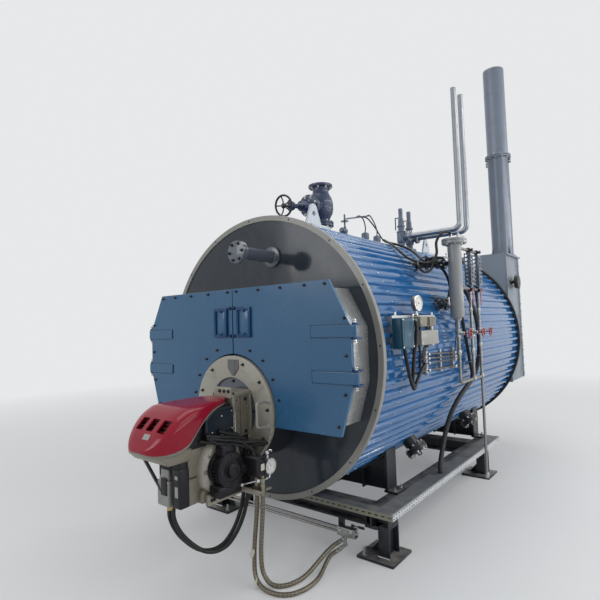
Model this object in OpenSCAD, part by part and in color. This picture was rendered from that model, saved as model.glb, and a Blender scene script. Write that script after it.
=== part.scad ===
// Horizontal fire-tube steam boiler on a skid, with a burner, two smokebox doors,
// a main steam valve, safety valves, a level column and a rear flue box with a chimney.
// The shell axis runs along Y and the burner faces -Y. Z points up and the floor is z = 0.
// The origin is the middle of the four anchor holes, on the floor under the shell axis.

/* [Shell] */
// height of the end rings' lowest point above the floor
ring_clear = 350; // [345:1:360]
// length over both end rings
shell_len = 3386; // [3200:10:3600]
// outer radius of the end rings
ring_r = 1050; // [1045:1:1060]
// depth of the cladding's ribs
rib_h = 22; // [16:1:26]
// number of cladding ribs round the shell
rib_count = 84; // [72:4:96]

/* [Smokebox and doors] */
// how far the closed doors stand in front of the front ring
door_front = 265; // [255:5:290]
// thickness of a door
door_t = 30; // [24:1:34]
// radius of the round cut-out for the burner
door_cut_r = 385; // [380:1:395]

/* [Burner] */
// how far the burner's axis lies under the shell's axis
burner_drop = 360; // [355:1:365]
// outer radius of the burner mounting ring
burner_ring_r = 375; // [372:1:376]
// width of the hood
hood_w = 440; // [420:10:460]
// how far the hood reaches in front of the front ring
hood_front = 1050; // [1040:5:1060]
// radius of the fan housing
fan_r = 200; // [190:5:205]

/* [Skid] */
// distance of an anchor hole from the middle of its base plate, across the skid
anchor_in = 100; // [90:1:105]
// distance from the front ring to the front legs
leg_front_y = 374; // [360:2:400]
// distance from the front ring to the rear legs
leg_rear_y = 2450; // [2300:10:2600]
// side of a square base plate
plate_side = 280; // [260:10:300]

/* [Valves and stack] */
// height of the steam flange above the cladding's crest
steam_rise = 457; // [450:1:490]
// height of the open chimney end above the floor
stack_top_z = 4950; // [4000:50:5200]
// outer radius of the chimney
stack_r = 130; // [120:5:140]
// height of the open ends of the relief vents
vent_top_z = 4200; // [3600:50:4400]

/* [Hidden] */
$fn = 64;
// clearance between a fitting and the curved face it sits on
seat_gap = 0.3;
// running clearance of a turning pin or stem, on the radius
run_gap = 0.08;
// shell
axis_z = ring_r + ring_clear;
crest_drop = 20;
crest_r = ring_r - crest_drop;
shell_wall = 75;
ring_depth = 40;
ring_lip = 40;
ring_in_r = ring_r - ring_lip;
shell_in_r = crest_r - shell_wall;
shell_top = axis_z + crest_r;
valley_r = crest_r - rib_h;
plate_t = 30;
plate_back = ring_depth;
plate_face = ring_depth - plate_t;
seat_r = crest_r + seat_gap;
// anchors
anchor_off = 100;
anchor_mid_y = (leg_front_y + leg_rear_y) / 2 - anchor_off;
anchor_hole_r = 11;
// doors and smokebox
door_back = door_front - door_t;
door_seal = 5;
box_front = door_back - door_seal;
box_inset = 45;
box_wall = 8;
seam_half = 4;
door_hw = ring_r - 65;
door_hinge_x = door_hw + 20;
hinge_y = -(door_front + door_back) / 2;
hinge_pin_r = 9;
knuckle_r = 18;
strap_h = 70;
strap_t = 8;
strap_x = door_hw - 285;
strap_zs = [axis_z + 171, axis_z - 104];
lug_r = 14;
lug_t = 14;
// burner
burner_z = axis_z - burner_drop;
throat_r = 370;
burner_ring_t = 35;
ring_back = 250;
burner_bore_r = 220;
body_front = 450;
body_hw = 175;
fan_y = -600;
fan_z = burner_z - 300;
fan_x0 = -130;
fan_x1 = 200;
pad_y = -805;
pad_top = fan_z + 165;
motor_r = 105;
motor_len = 110;
motor_z = fan_z + 10;
nipple_x = [335, 385];
nipple_y = -405;
nipple_z = burner_z - 400;
box_z = burner_z - 480;
terminal_z = burner_z - 445;
pump_y0 = -460;
pump_y1 = -350;
// skid
beam_h = 125;
beam_z1 = ring_clear - 20;
beam_z0 = beam_z1 - beam_h;
beam_x0 = ring_r - 350;
beam_x1 = beam_x0 + 100;
skid_y0 = 270;
skid_y1 = leg_rear_y + 350;
leg_wx = 85;
leg_wy = 148;
leg_x = beam_x1 + 29;
plate_x = beam_x1 - 10;
anchor_x = plate_x - anchor_in;
plate_h = 20;
tray_x1 = beam_x1 + 125;
tray_y0 = 262;
tray_t = 4;
slot_x = tray_x1 - 40;
saddle_front_y = 700;
saddle_rear_y = shell_len - 700;
saddle_w = 150;
saddle_hx = beam_x0;
saddle_top = axis_z - 500;
// top fittings
valve_y = 870;
valve_z = shell_top + 265;
steam_top_z = shell_top + steam_rise;
valve_flange_r = 110;
valve_tilt = 10;
stem_len = 540;
relief_ys = [shell_len - 886, shell_len - 666];
relief_z = shell_top + 190;
vent_r = 30;
vent_wall = 2;
vent_x = 700;
vent_bend = 75;
// level column and its pipes
col_x = crest_r + 70;
col_y = 1170;
col_r = 54;
col_z0 = axis_z + 231;
col_z1 = axis_z + 835;
col_branch_zs = [axis_z + 690, axis_z + 350];
link_zs = [axis_z + 815, axis_z + 480];
glass_z0 = axis_z + 505;
glass_z1 = axis_z + 790;
drain_z = axis_z - 290;
wheel_z = axis_z + 107;
wheel_x = col_x + 95;
gauge_ys = [1500, 1710];
pipe_r = 12;
// rear
flue_y0 = shell_len;
flue_y1 = shell_len + 674;
flue_hx = ring_r - 140;
flue_z0 = axis_z - 550;
flue_z1 = axis_z + 1020;
flue_wall = 10;
stack_x = flue_hx - 140;
stack_joint_z = stack_top_z - 1210;
stack_y = shell_len + 514;
stack_wall = 4;

// oil hoses, from the pump's nipples to the unions under the skid
hose_r = 14;
hose_end_x = 560;
hose_1_end_y = 110;
hose_2_end_y = 140;
hose_end_zs = [62, 112];
// height of a hose point between the floor bend and the pump's nipple
function hung(t) = 165 + t * (nipple_z - 165);
hose_1 = [[nipple_x[0], nipple_y, nipple_z], [335, -405, hung(0.83)], [332, -406, hung(0.66)],
  [325, -408, hung(0.49)], [316, -410, hung(0.32)],
  [308, -412, hung(0.16)], [306, -414, 165], [312, -420, 95], [335, -428, 48], [385, -436, 20],
  [450, -442, 15], [520, -428, 15], [575, -385, 15], [605, -320, 15], [615, -250, 15],
  [610, -170, 16], [592, -95, 22], [572, -20, 42], [hose_end_x, 50, hose_end_zs[0]],
  [hose_end_x, hose_1_end_y - 0.1, hose_end_zs[0]]];
hose_2 = [[nipple_x[1], nipple_y, nipple_z], [385, -405, hung(0.83)], [380, -404, hung(0.66)],
  [371, -402, hung(0.49)], [361, -400, hung(0.32)],
  [353, -399, hung(0.16)], [350, -398, 165], [356, -396, 100], [378, -392, 55], [415, -386, 26],
  [455, -368, 17], [490, -330, 15], [512, -275, 15], [522, -210, 16], [524, -140, 24],
  [530, -65, 48], [545, 5, 84], [hose_end_x, 80, hose_end_zs[1]],
  [hose_end_x, hose_2_end_y - 0.1, hose_end_zs[1]]];
// conduits, from the control box to the terminal box under the pump
conduit_r = 13;
conduit_step = [34, 4, 0];
// height of a conduit point between the bend and the control box, or the terminal box
function sag(t) = 240 + t * (box_z - 240);
function lift(t) = 240 + t * (terminal_z - 240);
conduit = [[35, -845, sag(1)], [35, -845, sag(0.83)], [42, -829, sag(0.65)], [55, -798, sag(0.46)],
  [70, -759, sag(0.3)], [86, -716, sag(0.16)], [104, -668, sag(0.05)], [122, -620, 240],
  [140, -574, 241], [158, -528, lift(0.06)], [174, -488, lift(0.18)], [187, -455, lift(0.33)],
  [197, -425, lift(0.52)], [203, -403, lift(0.74)], [205, -395, lift(0.9)], [205, -395, terminal_z - 0.1]];
// cable loom down the shell's side to the tray
loom_r = 20;
// points of the loom beside the shell: angle about the shell's axis, place along it, distance off
// the crest
loom_turns = [[30.6, 1790, 39], [25.9, 1800, 46], [21.3, 1795, 45], [16.1, 1785, 50],
  [10.7, 1776, 47], [5.3, 1769, 44], [0.0, 1764, 43], [-4.8, 1756, 43], [-9.6, 1737, 44],
  [-14.6, 1698, 44], [-19.1, 1612, 42], [-23.1, 1510, 41], [-27.7, 1444, 45],
  [-32.7, 1400, 61]];
loom = concat([for (q = loom_turns) [(crest_r + q[2]) * cos(q[0]), q[1], axis_z + (crest_r + q[2]) * sin(q[0])]],
  [[beam_x1 + 88, 1370, axis_z - 700], [beam_x1 + 70, 1335, axis_z - 810], [beam_x1 + 61, 1292, beam_z1 + 150],
  [beam_x1 + 57, 1264, beam_z1 + 70], [beam_x1 + 57, 1264, beam_z1 + 4.2]]);

// moves a piece from the front ring's frame to the part's frame
module placed() {
  translate([0, -anchor_mid_y, 0]) children();
}

// a cylinder along +Y from y0 to y1
module rod_y(r, x, z, y0, y1) {
  translate([x, y0, z]) rotate([-90, 0, 0]) cylinder(h = y1 - y0, r = r);
}

// a cylinder along +X from x0 to x1
module rod_x(r, y, z, x0, x1) {
  translate([x0, y, z]) rotate([0, 90, 0]) cylinder(h = x1 - x0, r = r);
}

// a cylinder along +Z from z0 to z1
module rod_z(r, x, y, z0, z1) {
  translate([x, y, z0]) cylinder(h = z1 - z0, r = r);
}

// a block given by its low and high corners
module block(lo, hi) {
  translate(lo) cube(hi - lo);
}

// an outline in X and Z drawn along Y from y0 to y1
module along_y(y0, y1) {
  translate([0, y1, 0]) rotate([90, 0, 0]) linear_extrude(height = y1 - y0) children();
}

// an outline in Y and Z drawn along X, centred, w wide
module along_x(w) {
  rotate([90, 0, 90]) linear_extrude(height = w, center = true) children();
}

// the round space taken by the cladding, with its seat clearance
module shell_space() {
  rod_y(seat_r, 0, axis_z, 0, shell_len, $fn = 256);
}

// Shell and its ends

function rib(i) = let (a = 360 / rib_count, t = i * a)
  [[valley_r * cos(t), valley_r * sin(t)],
   [valley_r * cos(t + a * 0.42), valley_r * sin(t + a * 0.42)],
   [crest_r * cos(t + a * 0.56), crest_r * sin(t + a * 0.56)],
   [crest_r * cos(t + a * 0.86), crest_r * sin(t + a * 0.86)]];

module shell() {
  color([0.16, 0.42, 0.72]) placed() translate([0, 0, axis_z])
    along_y(ring_depth, shell_len - ring_depth) difference() {
      polygon([for (i = [0 : rib_count - 1]) each rib(i)]);
      circle(r = shell_in_r, $fn = 128);
    }
}

module end_ring(y0) {
  difference() {
    translate([0, y0 + ring_depth, axis_z]) rotate([90, 0, 0])
      cylinder(h = ring_depth, r = ring_r, $fn = 128);
    translate([0, y0 + ring_depth + 1, axis_z]) rotate([90, 0, 0])
      cylinder(h = ring_depth + 2, r = ring_in_r, $fn = 128);
  }
}

module front_ring() {
  color([0.75, 0.74, 0.70]) placed() end_ring(0);
}

module rear_ring() {
  color([0.20, 0.20, 0.22]) placed() end_ring(shell_len - ring_depth);
}

module end_disc(y0) {
  translate([0, y0 + plate_t, axis_z]) rotate([90, 0, 0])
    cylinder(h = plate_t, r = ring_in_r - seat_gap, $fn = 128);
}

module front_plate() {
  color([0.28, 0.31, 0.35]) placed() end_disc(plate_face);
}

module rear_plate() {
  color([0.28, 0.31, 0.35]) placed() end_disc(shell_len - plate_back);
}

// Smokebox and doors

// the eight corners of the doors' outline, moved inwards by d
function door_outline(d) = [
  [150 - door_hw + 0.601 * d, axis_z + 487 - d], [door_hw - 150 - 0.601 * d, axis_z + 487 - d],
  [door_hw - d, axis_z + 205 - 0.249 * d], [door_hw - d, axis_z - 150 + 0.151 * d],
  [door_hw - 93 - 0.737 * d, axis_z - 450 + d], [93 - door_hw + 0.737 * d, axis_z - 450 + d],
  [d - door_hw, axis_z - 150 + 0.151 * d], [d - door_hw, axis_z + 205 - 0.249 * d]];

module smokebox() {
  color([0.13, 0.36, 0.62]) placed() difference() {
    along_y(-box_front, plate_face) difference() {
      polygon(door_outline(box_inset));
      polygon(door_outline(box_inset + box_wall));
    }
    rod_y(throat_r + seat_gap, 0, burner_z, -box_front - 1, plate_face + 1);
  }
}

// one door leaf, on the +X side
module door_leaf() {
  difference() {
    union() {
      along_y(-door_front, -door_back) intersection() {
        polygon(door_outline(0));
        translate([seam_half, 0]) square([1200, 3000]);
      }
      // pull handle frame near the seam
      translate([50, -door_front - 22, axis_z + 145]) difference() {
        cube([130, 22, 205]);
        translate([16, -1, 16]) cube([98, 24, 173]);
      }
      // hinge straps with their knuckles
      for (z = strap_zs) {
        block([strap_x, -door_front - strap_t, z - strap_h / 2],
          [door_hinge_x, -door_front, z + strap_h / 2]);
        rod_z(knuckle_r, door_hinge_x, hinge_y, z - strap_h / 2, z + strap_h / 2);
      }
    }
    rod_y(door_cut_r, 0, burner_z, -door_front - 30, 0);
    rod_z(hinge_pin_r + run_gap, door_hinge_x, hinge_y, axis_z - 300, axis_z + 300);
  }
}

module right_door() {
  color([0.15, 0.40, 0.66]) placed() door_leaf();
}

module left_door() {
  color([0.15, 0.40, 0.66]) placed() mirror([1, 0, 0]) door_leaf();
}

// one hinge pin with the lugs that hold it to the smokebox wall
module hinge_post() {
  wall_x = door_hw - box_inset;
  rod_z(hinge_pin_r, door_hinge_x, hinge_y, strap_zs[1] - strap_h / 2 - 20, strap_zs[0] + strap_h / 2 + 20);
  for (z = strap_zs) for (s = [-1, 1]) {
    zc = z + s * (strap_h / 2 + 1 + lug_t / 2);
    difference() {
      union() {
        rod_z(lug_r, door_hinge_x, hinge_y, zc - lug_t / 2, zc + lug_t / 2);
        block([door_hinge_x - lug_r, hinge_y, zc - lug_t / 2],
          [door_hinge_x + lug_r, hinge_y + 60, zc + lug_t / 2]);
        block([wall_x, hinge_y + 22, zc - lug_t / 2],
          [door_hinge_x, hinge_y + 60, zc + lug_t / 2]);
      }
    }
  }
}

module hinge_posts() {
  color([0.15, 0.38, 0.62]) placed() for (s = [0, 1]) mirror([s, 0, 0]) hinge_post();
}

// Burner

module burner_throat() {
  color([0.08, 0.08, 0.09]) placed()
    rod_y(throat_r, 0, burner_z, -ring_back, plate_face);
}

module burner_ring() {
  color([0.78, 0.76, 0.70]) placed() difference() {
    rod_y(burner_ring_r, 0, burner_z, -ring_back - burner_ring_t, -ring_back);
    rod_y(burner_bore_r, 0, burner_z, -ring_back - burner_ring_t - 1, -ring_back + 1);
  }
}

module burner_plate() {
  color([0.35, 0.36, 0.38]) placed()
    rod_y(burner_bore_r - seat_gap, 0, burner_z, -ring_back - 20, -ring_back);
}

module burner_body() {
  ring_face = -ring_back - burner_ring_t;
  color([0.50, 0.47, 0.43]) placed() union() {
    block([-body_hw, -body_front, burner_z - 162], [body_hw, ring_face, burner_z + 175]);
    rod_y(160, 0, burner_z, ring_face - 1, -ring_back - 20);
  }
}

// the sloping joint between the hood and the burner head
joint_line = [for (q = [[-450, 140], [-640, 80], [-720, 20], [-800, -80], [-840, -115]])
  [q[0], burner_z + q[1]]];

module burner_head() {
  color([0.10, 0.10, 0.11]) placed() difference() {
    along_x(hood_w - 110) polygon(concat(joint_line, [[-840, burner_z - 180], [-450, burner_z - 180]]));
    rod_x(fan_r + seat_gap, fan_y, fan_z, fan_x0 - 60, fan_x1 + 60);
    block([-250, pad_y - seat_gap, fan_z - 240], [250, -690, pad_top + seat_gap]);
  }
}

module burner_hood() {
  nose_r = hood_w / 2 - 10;
  crown_r = 110;
  color([0.72, 0.06, 0.10]) placed() difference() {
    intersection() {
      // side outline
      along_x(hood_w) polygon(concat([for (q = [[-450, 160], [-700, 172], [-850, 165], [-940, 135],
        [-1000, 75], [-hood_front + 10, 0], [-hood_front, -55], [-hood_front, -100],
        [-hood_front + 15, -128], [-860, -135]]) [q[0], burner_z + q[1]]],
        [for (i = [4 : -1 : 0]) joint_line[i]]));
      // plan outline with a round nose and a narrower rear end
      translate([0, 0, burner_z - 240]) linear_extrude(height = 500) union() {
        translate([0, -hood_front + nose_r]) circle(r = nose_r);
        polygon([[-nose_r, -hood_front + nose_r], [nose_r, -hood_front + nose_r], [hood_w / 2, -700],
          [hood_w / 2 - 50, -440], [-hood_w / 2 + 50, -440], [-hood_w / 2, -700]]);
      }
      // front outline with rounded upper edges
      along_y(-hood_front - 10, -440) union() {
        translate([-hood_w / 2, burner_z - 240]) square([hood_w, 415 - crown_r]);
        translate([-hood_w / 2 + crown_r, burner_z - 240]) square([hood_w - 2 * crown_r, 415]);
        for (s = [-1, 1]) translate([s * (hood_w / 2 - crown_r), burner_z + 175 - crown_r]) circle(r = crown_r);
      }
    }
    // air inlet louvres
    for (x = [-120, 0, 120]) translate([x, -1000, burner_z + 50]) rotate([-40, 0, 0])
      translate([-42, -70, -45]) cube([84, 90, 90]);
  }
}

module fan_housing() {
  color([0.60, 0.57, 0.52]) placed() union() {
    rod_x(fan_r, fan_y, fan_z, fan_x0, fan_x1);
    block([fan_x0, pad_y, fan_z - 180], [fan_x1 - 10, -700, pad_top]);
    block([-80, -500, fan_z - 180], [160, -460, fan_z - 40]);
  }
}

module burner_motor() {
  color([0.07, 0.07, 0.08]) placed() union() {
    rod_x(motor_r, fan_y, motor_z, fan_x1, fan_x1 + motor_len);
    rod_x(42, fan_y, motor_z, fan_x1 + motor_len - 1, fan_x1 + motor_len + 25);
    block([fan_x1 + 20, fan_y - 60, motor_z + 70], [fan_x1 + motor_len - 15, fan_y + 60, motor_z + 140]);
  }
}

module oil_pump() {
  color([0.12, 0.12, 0.13]) placed() union() {
    block([body_hw, -398, terminal_z], [body_hw + 10, -320, burner_z - 140]);
    rod_x(34, -362, fan_z, body_hw + 9, 300);
    block([299, pump_y0, fan_z - 60], [410, pump_y1, fan_z + 60]);
    block([body_hw + 9, -414, terminal_z], [body_hw + 110, -375, terminal_z + 70]);
    for (x = nipple_x) rod_z(15, x, nipple_y, nipple_z, fan_z - 59);
    // oil pressure gauge on its stem
    rod_y(8, 340, fan_z - 10, pump_y1 - 1, -300);
    rod_x(34, -290, fan_z - 10, 326, 350);
  }
}

module control_boxes() {
  color([0.55, 0.56, 0.57]) placed() union() {
    block([-20, pad_y - 85, box_z], [95, pad_y, box_z + 230]);
    block([105, pad_y - 70, box_z + 15], [180, pad_y, box_z + 240]);
  }
}

// Skid

module skid_frame() {
  color([0.05, 0.05, 0.06]) placed() union() {
    for (s = [-1, 1]) block([s * (beam_x0 + beam_x1) / 2 - 50, skid_y0, beam_z0],
      [s * (beam_x0 + beam_x1) / 2 + 50, skid_y1, beam_z1]);
    for (y = [leg_front_y, leg_rear_y]) block([-leg_x - leg_wx / 2, y - leg_wy / 2, beam_z0],
      [leg_x + leg_wx / 2, y + leg_wy / 2, beam_z1]);
  }
}

module one_leg(y) {
  block([leg_x - leg_wx / 2, y - leg_wy / 2, plate_h - 1], [leg_x + leg_wx / 2, y + leg_wy / 2, beam_z0]);
  difference() {
    block([plate_x - plate_side / 2, y - plate_side / 2, 0], [plate_x + plate_side / 2, y + plate_side / 2, plate_h]);
    rod_z(anchor_hole_r, anchor_x, y - anchor_off, -1, plate_h + 1);
  }
}

module legs() {
  color([0.05, 0.05, 0.06]) placed() for (y = [leg_front_y, leg_rear_y]) for (s = [0, 1])
    mirror([s, 0, 0]) one_leg(y);
}

module cable_tray() {
  color([0.62, 0.64, 0.66]) placed() difference() {
    union() {
      block([-tray_x1, tray_y0, beam_z1], [tray_x1, tray_y0 + 83, beam_z1 + tray_t]);
      block([-tray_x1, tray_y0, beam_z1 - 40], [tray_x1, tray_y0 + tray_t, beam_z1 + tray_t]);
      for (s = [0, 1]) mirror([s, 0, 0]) {
        block([beam_x1 - 15, tray_y0, beam_z1], [tray_x1, skid_y1 - 20, beam_z1 + tray_t]);
        block([tray_x1 - tray_t, tray_y0, beam_z1 - 40], [tray_x1, skid_y1 - 20, beam_z1 + tray_t]);
      }
    }
    // slots along the side trays
    for (s = [-1, 1]) for (i = [0 : 11])
      block([s * slot_x - 10, 420 + i * 195, beam_z1 - 1], [s * slot_x + 10, 500 + i * 195, beam_z1 + tray_t + 1]);
  }
}

module one_saddle(y) {
  difference() {
    union() {
      block([-saddle_hx, y - 10, beam_z1], [saddle_hx, y + 10, saddle_top]);
      for (s = [-1, 1]) block([s * (saddle_hx - 10) - 10, y - saddle_w / 2, beam_z1],
        [s * (saddle_hx - 10) + 10, y + saddle_w / 2, saddle_top]);
      for (s = [0, 1]) mirror([s, 0, 0])
        block([beam_x0 - 30, y - saddle_w / 2, beam_z1], [beam_x1 - 20, y + saddle_w / 2, beam_z1 + 15]);
      intersection() {
        rod_y(seat_r + 14, 0, axis_z, y - saddle_w / 2, y + saddle_w / 2, $fn = 256);
        block([-saddle_hx, y - saddle_w, beam_z1 - 30], [saddle_hx, y + saddle_w, saddle_top]);
      }
    }
    shell_space();
  }
}

module saddles() {
  color([0.05, 0.05, 0.06]) placed() for (y = [saddle_front_y, saddle_rear_y]) one_saddle(y);
}

// Fittings on the shell

// bolted hand hole covers low on the right side
module hand_holes() {
  color([0.07, 0.07, 0.08]) placed() difference() {
    for (y = [1010, shell_len - 1086]) translate([0, y, axis_z]) rotate([0, 137, 0]) {
      cylinder(h = seat_r + 95, r = 62);
      translate([0, 0, seat_r + 70]) cylinder(h = 25, r = 92);
      translate([0, 0, seat_r + 95]) cylinder(h = 22, r = 92);
    }
    shell_space();
  }
}

module blind_nozzle() {
  nx = 156;
  nz = axis_z + ring_in_r - 285;
  color([0.18, 0.21, 0.26]) placed() union() {
    rod_y(75, nx, nz, -8, plate_face);
    rod_y(44, nx, nz, -346, -7);
    rod_y(78, nx, nz, -344, -322);
    rod_y(78, nx, nz, -368, -346);
    rod_y(60, nx, nz, -347, -343);
  }
}

module lifting_lugs() {
  color([0.72, 0.78, 0.86]) placed() difference() {
    for (y = [540, shell_len - 540]) translate([150, y, axis_z]) difference() {
      union() {
        rotate([90, 0, 90]) linear_extrude(height = 20, center = true) union() {
          polygon([[-110, crest_r - 130], [110, crest_r - 130], [110, crest_r + 10], [46, crest_r + 160],
            [-46, crest_r + 160], [-110, crest_r + 10]]);
          translate([0, crest_r + 150]) circle(r = 48);
        }
        // pad plate under the lug
        translate([-80, -130, crest_r - 50]) cube([160, 260, 58]);
      }
      translate([-20, 0, crest_r + 115]) rotate([0, 90, 0]) cylinder(h = 40, r = 21);
    }
    shell_space();
  }
}

module steam_valve() {
  color([0.10, 0.18, 0.32]) placed() difference() {
    union() {
      rod_z(58, 0, valve_y, shell_top - 130, valve_z);
      rod_z(valve_flange_r, 0, valve_y, shell_top + 70, shell_top + 114);
      translate([0, valve_y, valve_z]) sphere(r = 112);
      rod_z(70, 0, valve_y, valve_z, steam_top_z);
      rod_z(valve_flange_r, 0, valve_y, steam_top_z - 24, steam_top_z);
      translate([0, valve_y, valve_z]) rotate([90 + valve_tilt, 0, 0]) {
        cylinder(h = 190, r = 78);
        translate([0, 0, 150]) cylinder(h = 44, r = 100);
        translate([0, 0, 190]) cylinder(h = 110, r = 40);
        for (s = [-1, 1]) translate([s * 42 - 10, -14, 190]) cube([20, 28, 250]);
        translate([-52, -22, 425]) cube([104, 44, 30]);
      }
    }
    shell_space();
    // steam way
    rod_z(50, 0, valve_y, valve_z, steam_top_z + 1);
    // gland bore for the turning stem
    translate([0, valve_y, valve_z]) rotate([90 + valve_tilt, 0, 0])
      translate([0, 0, 240]) cylinder(h = 300, r = 12 + run_gap);
    for (i = [0 : 7]) translate([0, valve_y, 0]) rotate([0, 0, 22.5 + i * 45])
      rod_z(9, 90, 0, steam_top_z - 30, steam_top_z + 1);
  }
}

// a spoked handwheel about Z with its stem below
module handwheel(r, rim_r, stem_r, stem_z0) {
  rotate_extrude() translate([r, 0]) circle(r = rim_r, $fn = 20);
  translate([0, 0, -rim_r]) cylinder(h = 2 * rim_r, r = r * 0.26);
  for (a = [0, 120, 240]) rotate([0, 0, a]) rotate([0, 90, 0]) cylinder(h = r, r = rim_r * 0.6, $fn = 20);
  translate([0, 0, stem_z0]) cylinder(h = -stem_z0 + rim_r + 6, r = stem_r);
}

module steam_wheel() {
  color([0.08, 0.12, 0.20]) placed() translate([0, valve_y, valve_z])
    rotate([90 + valve_tilt, 0, 0]) translate([0, 0, stem_len]) handwheel(85, 9, 12, -290);
}

module relief_valves() {
  color([0.35, 0.42, 0.50]) placed() difference() {
    for (y = relief_ys) {
      union() {
        rod_z(36, 0, y, shell_top - 130, relief_z);
        rod_z(75, 0, y, shell_top + 30, shell_top + 60);
        rod_z(52, 0, y, relief_z - 55, relief_z + 60);
        rod_z(34, 0, y, relief_z + 59, relief_z + 220);
        rod_z(46, 0, y, relief_z + 120, relief_z + 138);
        rod_z(24, 0, y, relief_z + 219, relief_z + 345);
        rod_x(38, y, relief_z, 0, 100);
        rod_x(62, y, relief_z, 84, 100);
        block([-70, y - 6, relief_z + 230], [10, y + 6, relief_z + 242]);
        block([-76, y - 6, relief_z + 90], [-64, y + 6, relief_z + 242]);
      }
    }
    shell_space();
  }
}

// one relief vent: flange, horizontal run, bend and riser
module vent(y) {
  difference() {
    union() {
      rod_x(vent_r, y, relief_z, 100, vent_x - vent_bend);
      rod_x(62, y, relief_z, 100, 116);
      translate([vent_x - vent_bend, y, relief_z + vent_bend]) rotate([90, 0, 0])
        rotate([0, 0, -90]) rotate_extrude(angle = 90) translate([vent_bend, 0]) circle(r = vent_r);
      rod_z(vent_r, vent_x, y, relief_z + vent_bend, vent_top_z);
    }
    rod_x(vent_r - vent_wall, y, relief_z, 99, vent_x - vent_bend);
    translate([vent_x - vent_bend, y, relief_z + vent_bend]) rotate([90, 0, 0])
      rotate([0, 0, -90]) rotate_extrude(angle = 90) translate([vent_bend, 0]) circle(r = vent_r - vent_wall);
    rod_z(vent_r - vent_wall, vent_x, y, relief_z + vent_bend, vent_top_z + 1);
  }
}

module vent_pipes() {
  color([0.80, 0.81, 0.82]) placed() for (y = relief_ys) vent(y);
}

// Level column, gauges and their pipes

module level_column() {
  color([0.66, 0.67, 0.66]) placed() union() {
    rod_z(col_r, col_x, col_y, col_z0, col_z1);
    rod_z(98, col_x, col_y, col_z1 - 1, col_z1 + 20);
    rod_z(98, col_x, col_y, col_z1 + 20, col_z1 + 40);
    rod_z(30, col_x, col_y, col_z0 - 20, col_z0 + 1);
  }
}

module column_valves() {
  color([0.08, 0.08, 0.09]) placed() difference() {
    union() {
      for (z = col_branch_zs) {
        rod_x(26, col_y, z, col_x - 400, col_x);
        rod_x(52, col_y, z, col_x - 95, col_x - 78);
      }
      rod_x(46, col_y, col_branch_zs[0], col_x - 230, col_x - 140);
      rod_x(60, col_y, col_branch_zs[0], col_x - 255, col_x - 238);
      rod_y(28, col_x - 185, col_branch_zs[0], col_y - 150, col_y);
      rod_y(44, col_x - 185, col_branch_zs[0], col_y - 170, col_y - 150);
      rod_y(24, col_x - 82, col_branch_zs[1], col_y - 150, col_y);
      rod_y(44, col_x - 82, col_branch_zs[1], col_y - 168, col_y - 150);
    }
    rod_z(col_r + seat_gap, col_x, col_y, col_z0, col_z1);
    shell_space();
  }
}

module level_gauges() {
  color([0.25, 0.27, 0.28]) placed() for (y = gauge_ys) union() {
    block([col_x - 28, y - 30, glass_z0], [col_x + 28, y + 30, glass_z1]);
    block([col_x + 27, y - 22, glass_z0 + 10], [col_x + 36, y + 22, glass_z1 - 10]);
  }
}

module gauge_pipes() {
  color([0.55, 0.55, 0.55]) placed() difference() {
    union() {
      for (z = link_zs) rod_y(pipe_r, col_x, z, col_y, gauge_ys[1] + 12);
      for (y = gauge_ys) {
        rod_z(pipe_r, col_x, y, glass_z1, link_zs[0] + 25);
        rod_z(20, col_x, y, link_zs[0] - 15, link_zs[0] + 15);
        rod_z(20, col_x, y, link_zs[1] - 15, link_zs[1] + 15);
        rod_z(pipe_r, col_x, y, link_zs[1] - 30, glass_z0);
      }
      // drain pipes
      rod_z(pipe_r, col_x, col_y, drain_z, col_z0 - 20);
      rod_z(pipe_r, col_x, gauge_ys[0], drain_z, link_zs[1] - 20);
      rod_z(pipe_r, col_x, gauge_ys[1], 225, link_zs[1] - 20);
      rod_y(pipe_r, col_x, drain_z, col_y - pipe_r, gauge_ys[1]);
      rod_z(22, col_x, gauge_ys[1], 200, 260);
      // drain valve bodies with their glands
      for (y = [col_y, gauge_ys[0], gauge_ys[1]]) {
        rod_z(24, col_x, y, wheel_z - 32, wheel_z + 33);
        rod_x(16, y, wheel_z, col_x, col_x + 50);
      }
    }
    rod_z(col_r + seat_gap, col_x, col_y, col_z0, col_z1);
    for (y = [col_y, gauge_ys[0], gauge_ys[1]]) rod_x(6 + run_gap, y, wheel_z, col_x + 20, col_x + 60);
  }
}

module drain_wheel(y) {
  color([0.70, 0.05, 0.08]) placed() translate([wheel_x, y, wheel_z]) rotate([0, 90, 0])
    handwheel(36, 5, 6, -70);
}

module drain_wheel_1() {
  drain_wheel(col_y);
}

module drain_wheel_2() {
  drain_wheel(gauge_ys[0]);
}

module drain_wheel_3() {
  drain_wheel(gauge_ys[1]);
}

// Instruments

panel_x = crest_r + 4;
panel_t = 6;
panel_z0 = axis_z + 25;
rail_h = 44;
panel_z1 = panel_z0 + 233;
gauge_r = 57;
gauge_z = panel_z1 + gauge_r + 27;
box_x0 = panel_x + panel_t;

module instrument_panel() {
  color([0.45, 0.46, 0.48]) placed() difference() {
    union() {
      for (z = [panel_z0 + 15, panel_z1 - rail_h])
        block([panel_x, 150, z], [panel_x + panel_t, 850, z + rail_h]);
      for (y = [200, 800])
        block([crest_r - 90, y - 15, panel_z0 + 5], [panel_x + panel_t, y + 15, panel_z1]);
    }
    shell_space();
  }
}

module pressure_gauge() {
  color([0.85, 0.86, 0.86]) placed() union() {
    rod_z(9, panel_x + panel_t / 2, 500, panel_z1, gauge_z - gauge_r + 20);
    translate([panel_x, 502, gauge_z]) rotate([0, 90, -20]) cylinder(h = 40, r = gauge_r);
  }
}

module pressure_switches() {
  color([0.50, 0.50, 0.48]) placed() union() {
    for (y = [470, 630])
      block([box_x0, y - 55, panel_z0 + 153], [box_x0 + 70, y + 55, panel_z0 + 223]);
  }
}

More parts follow.
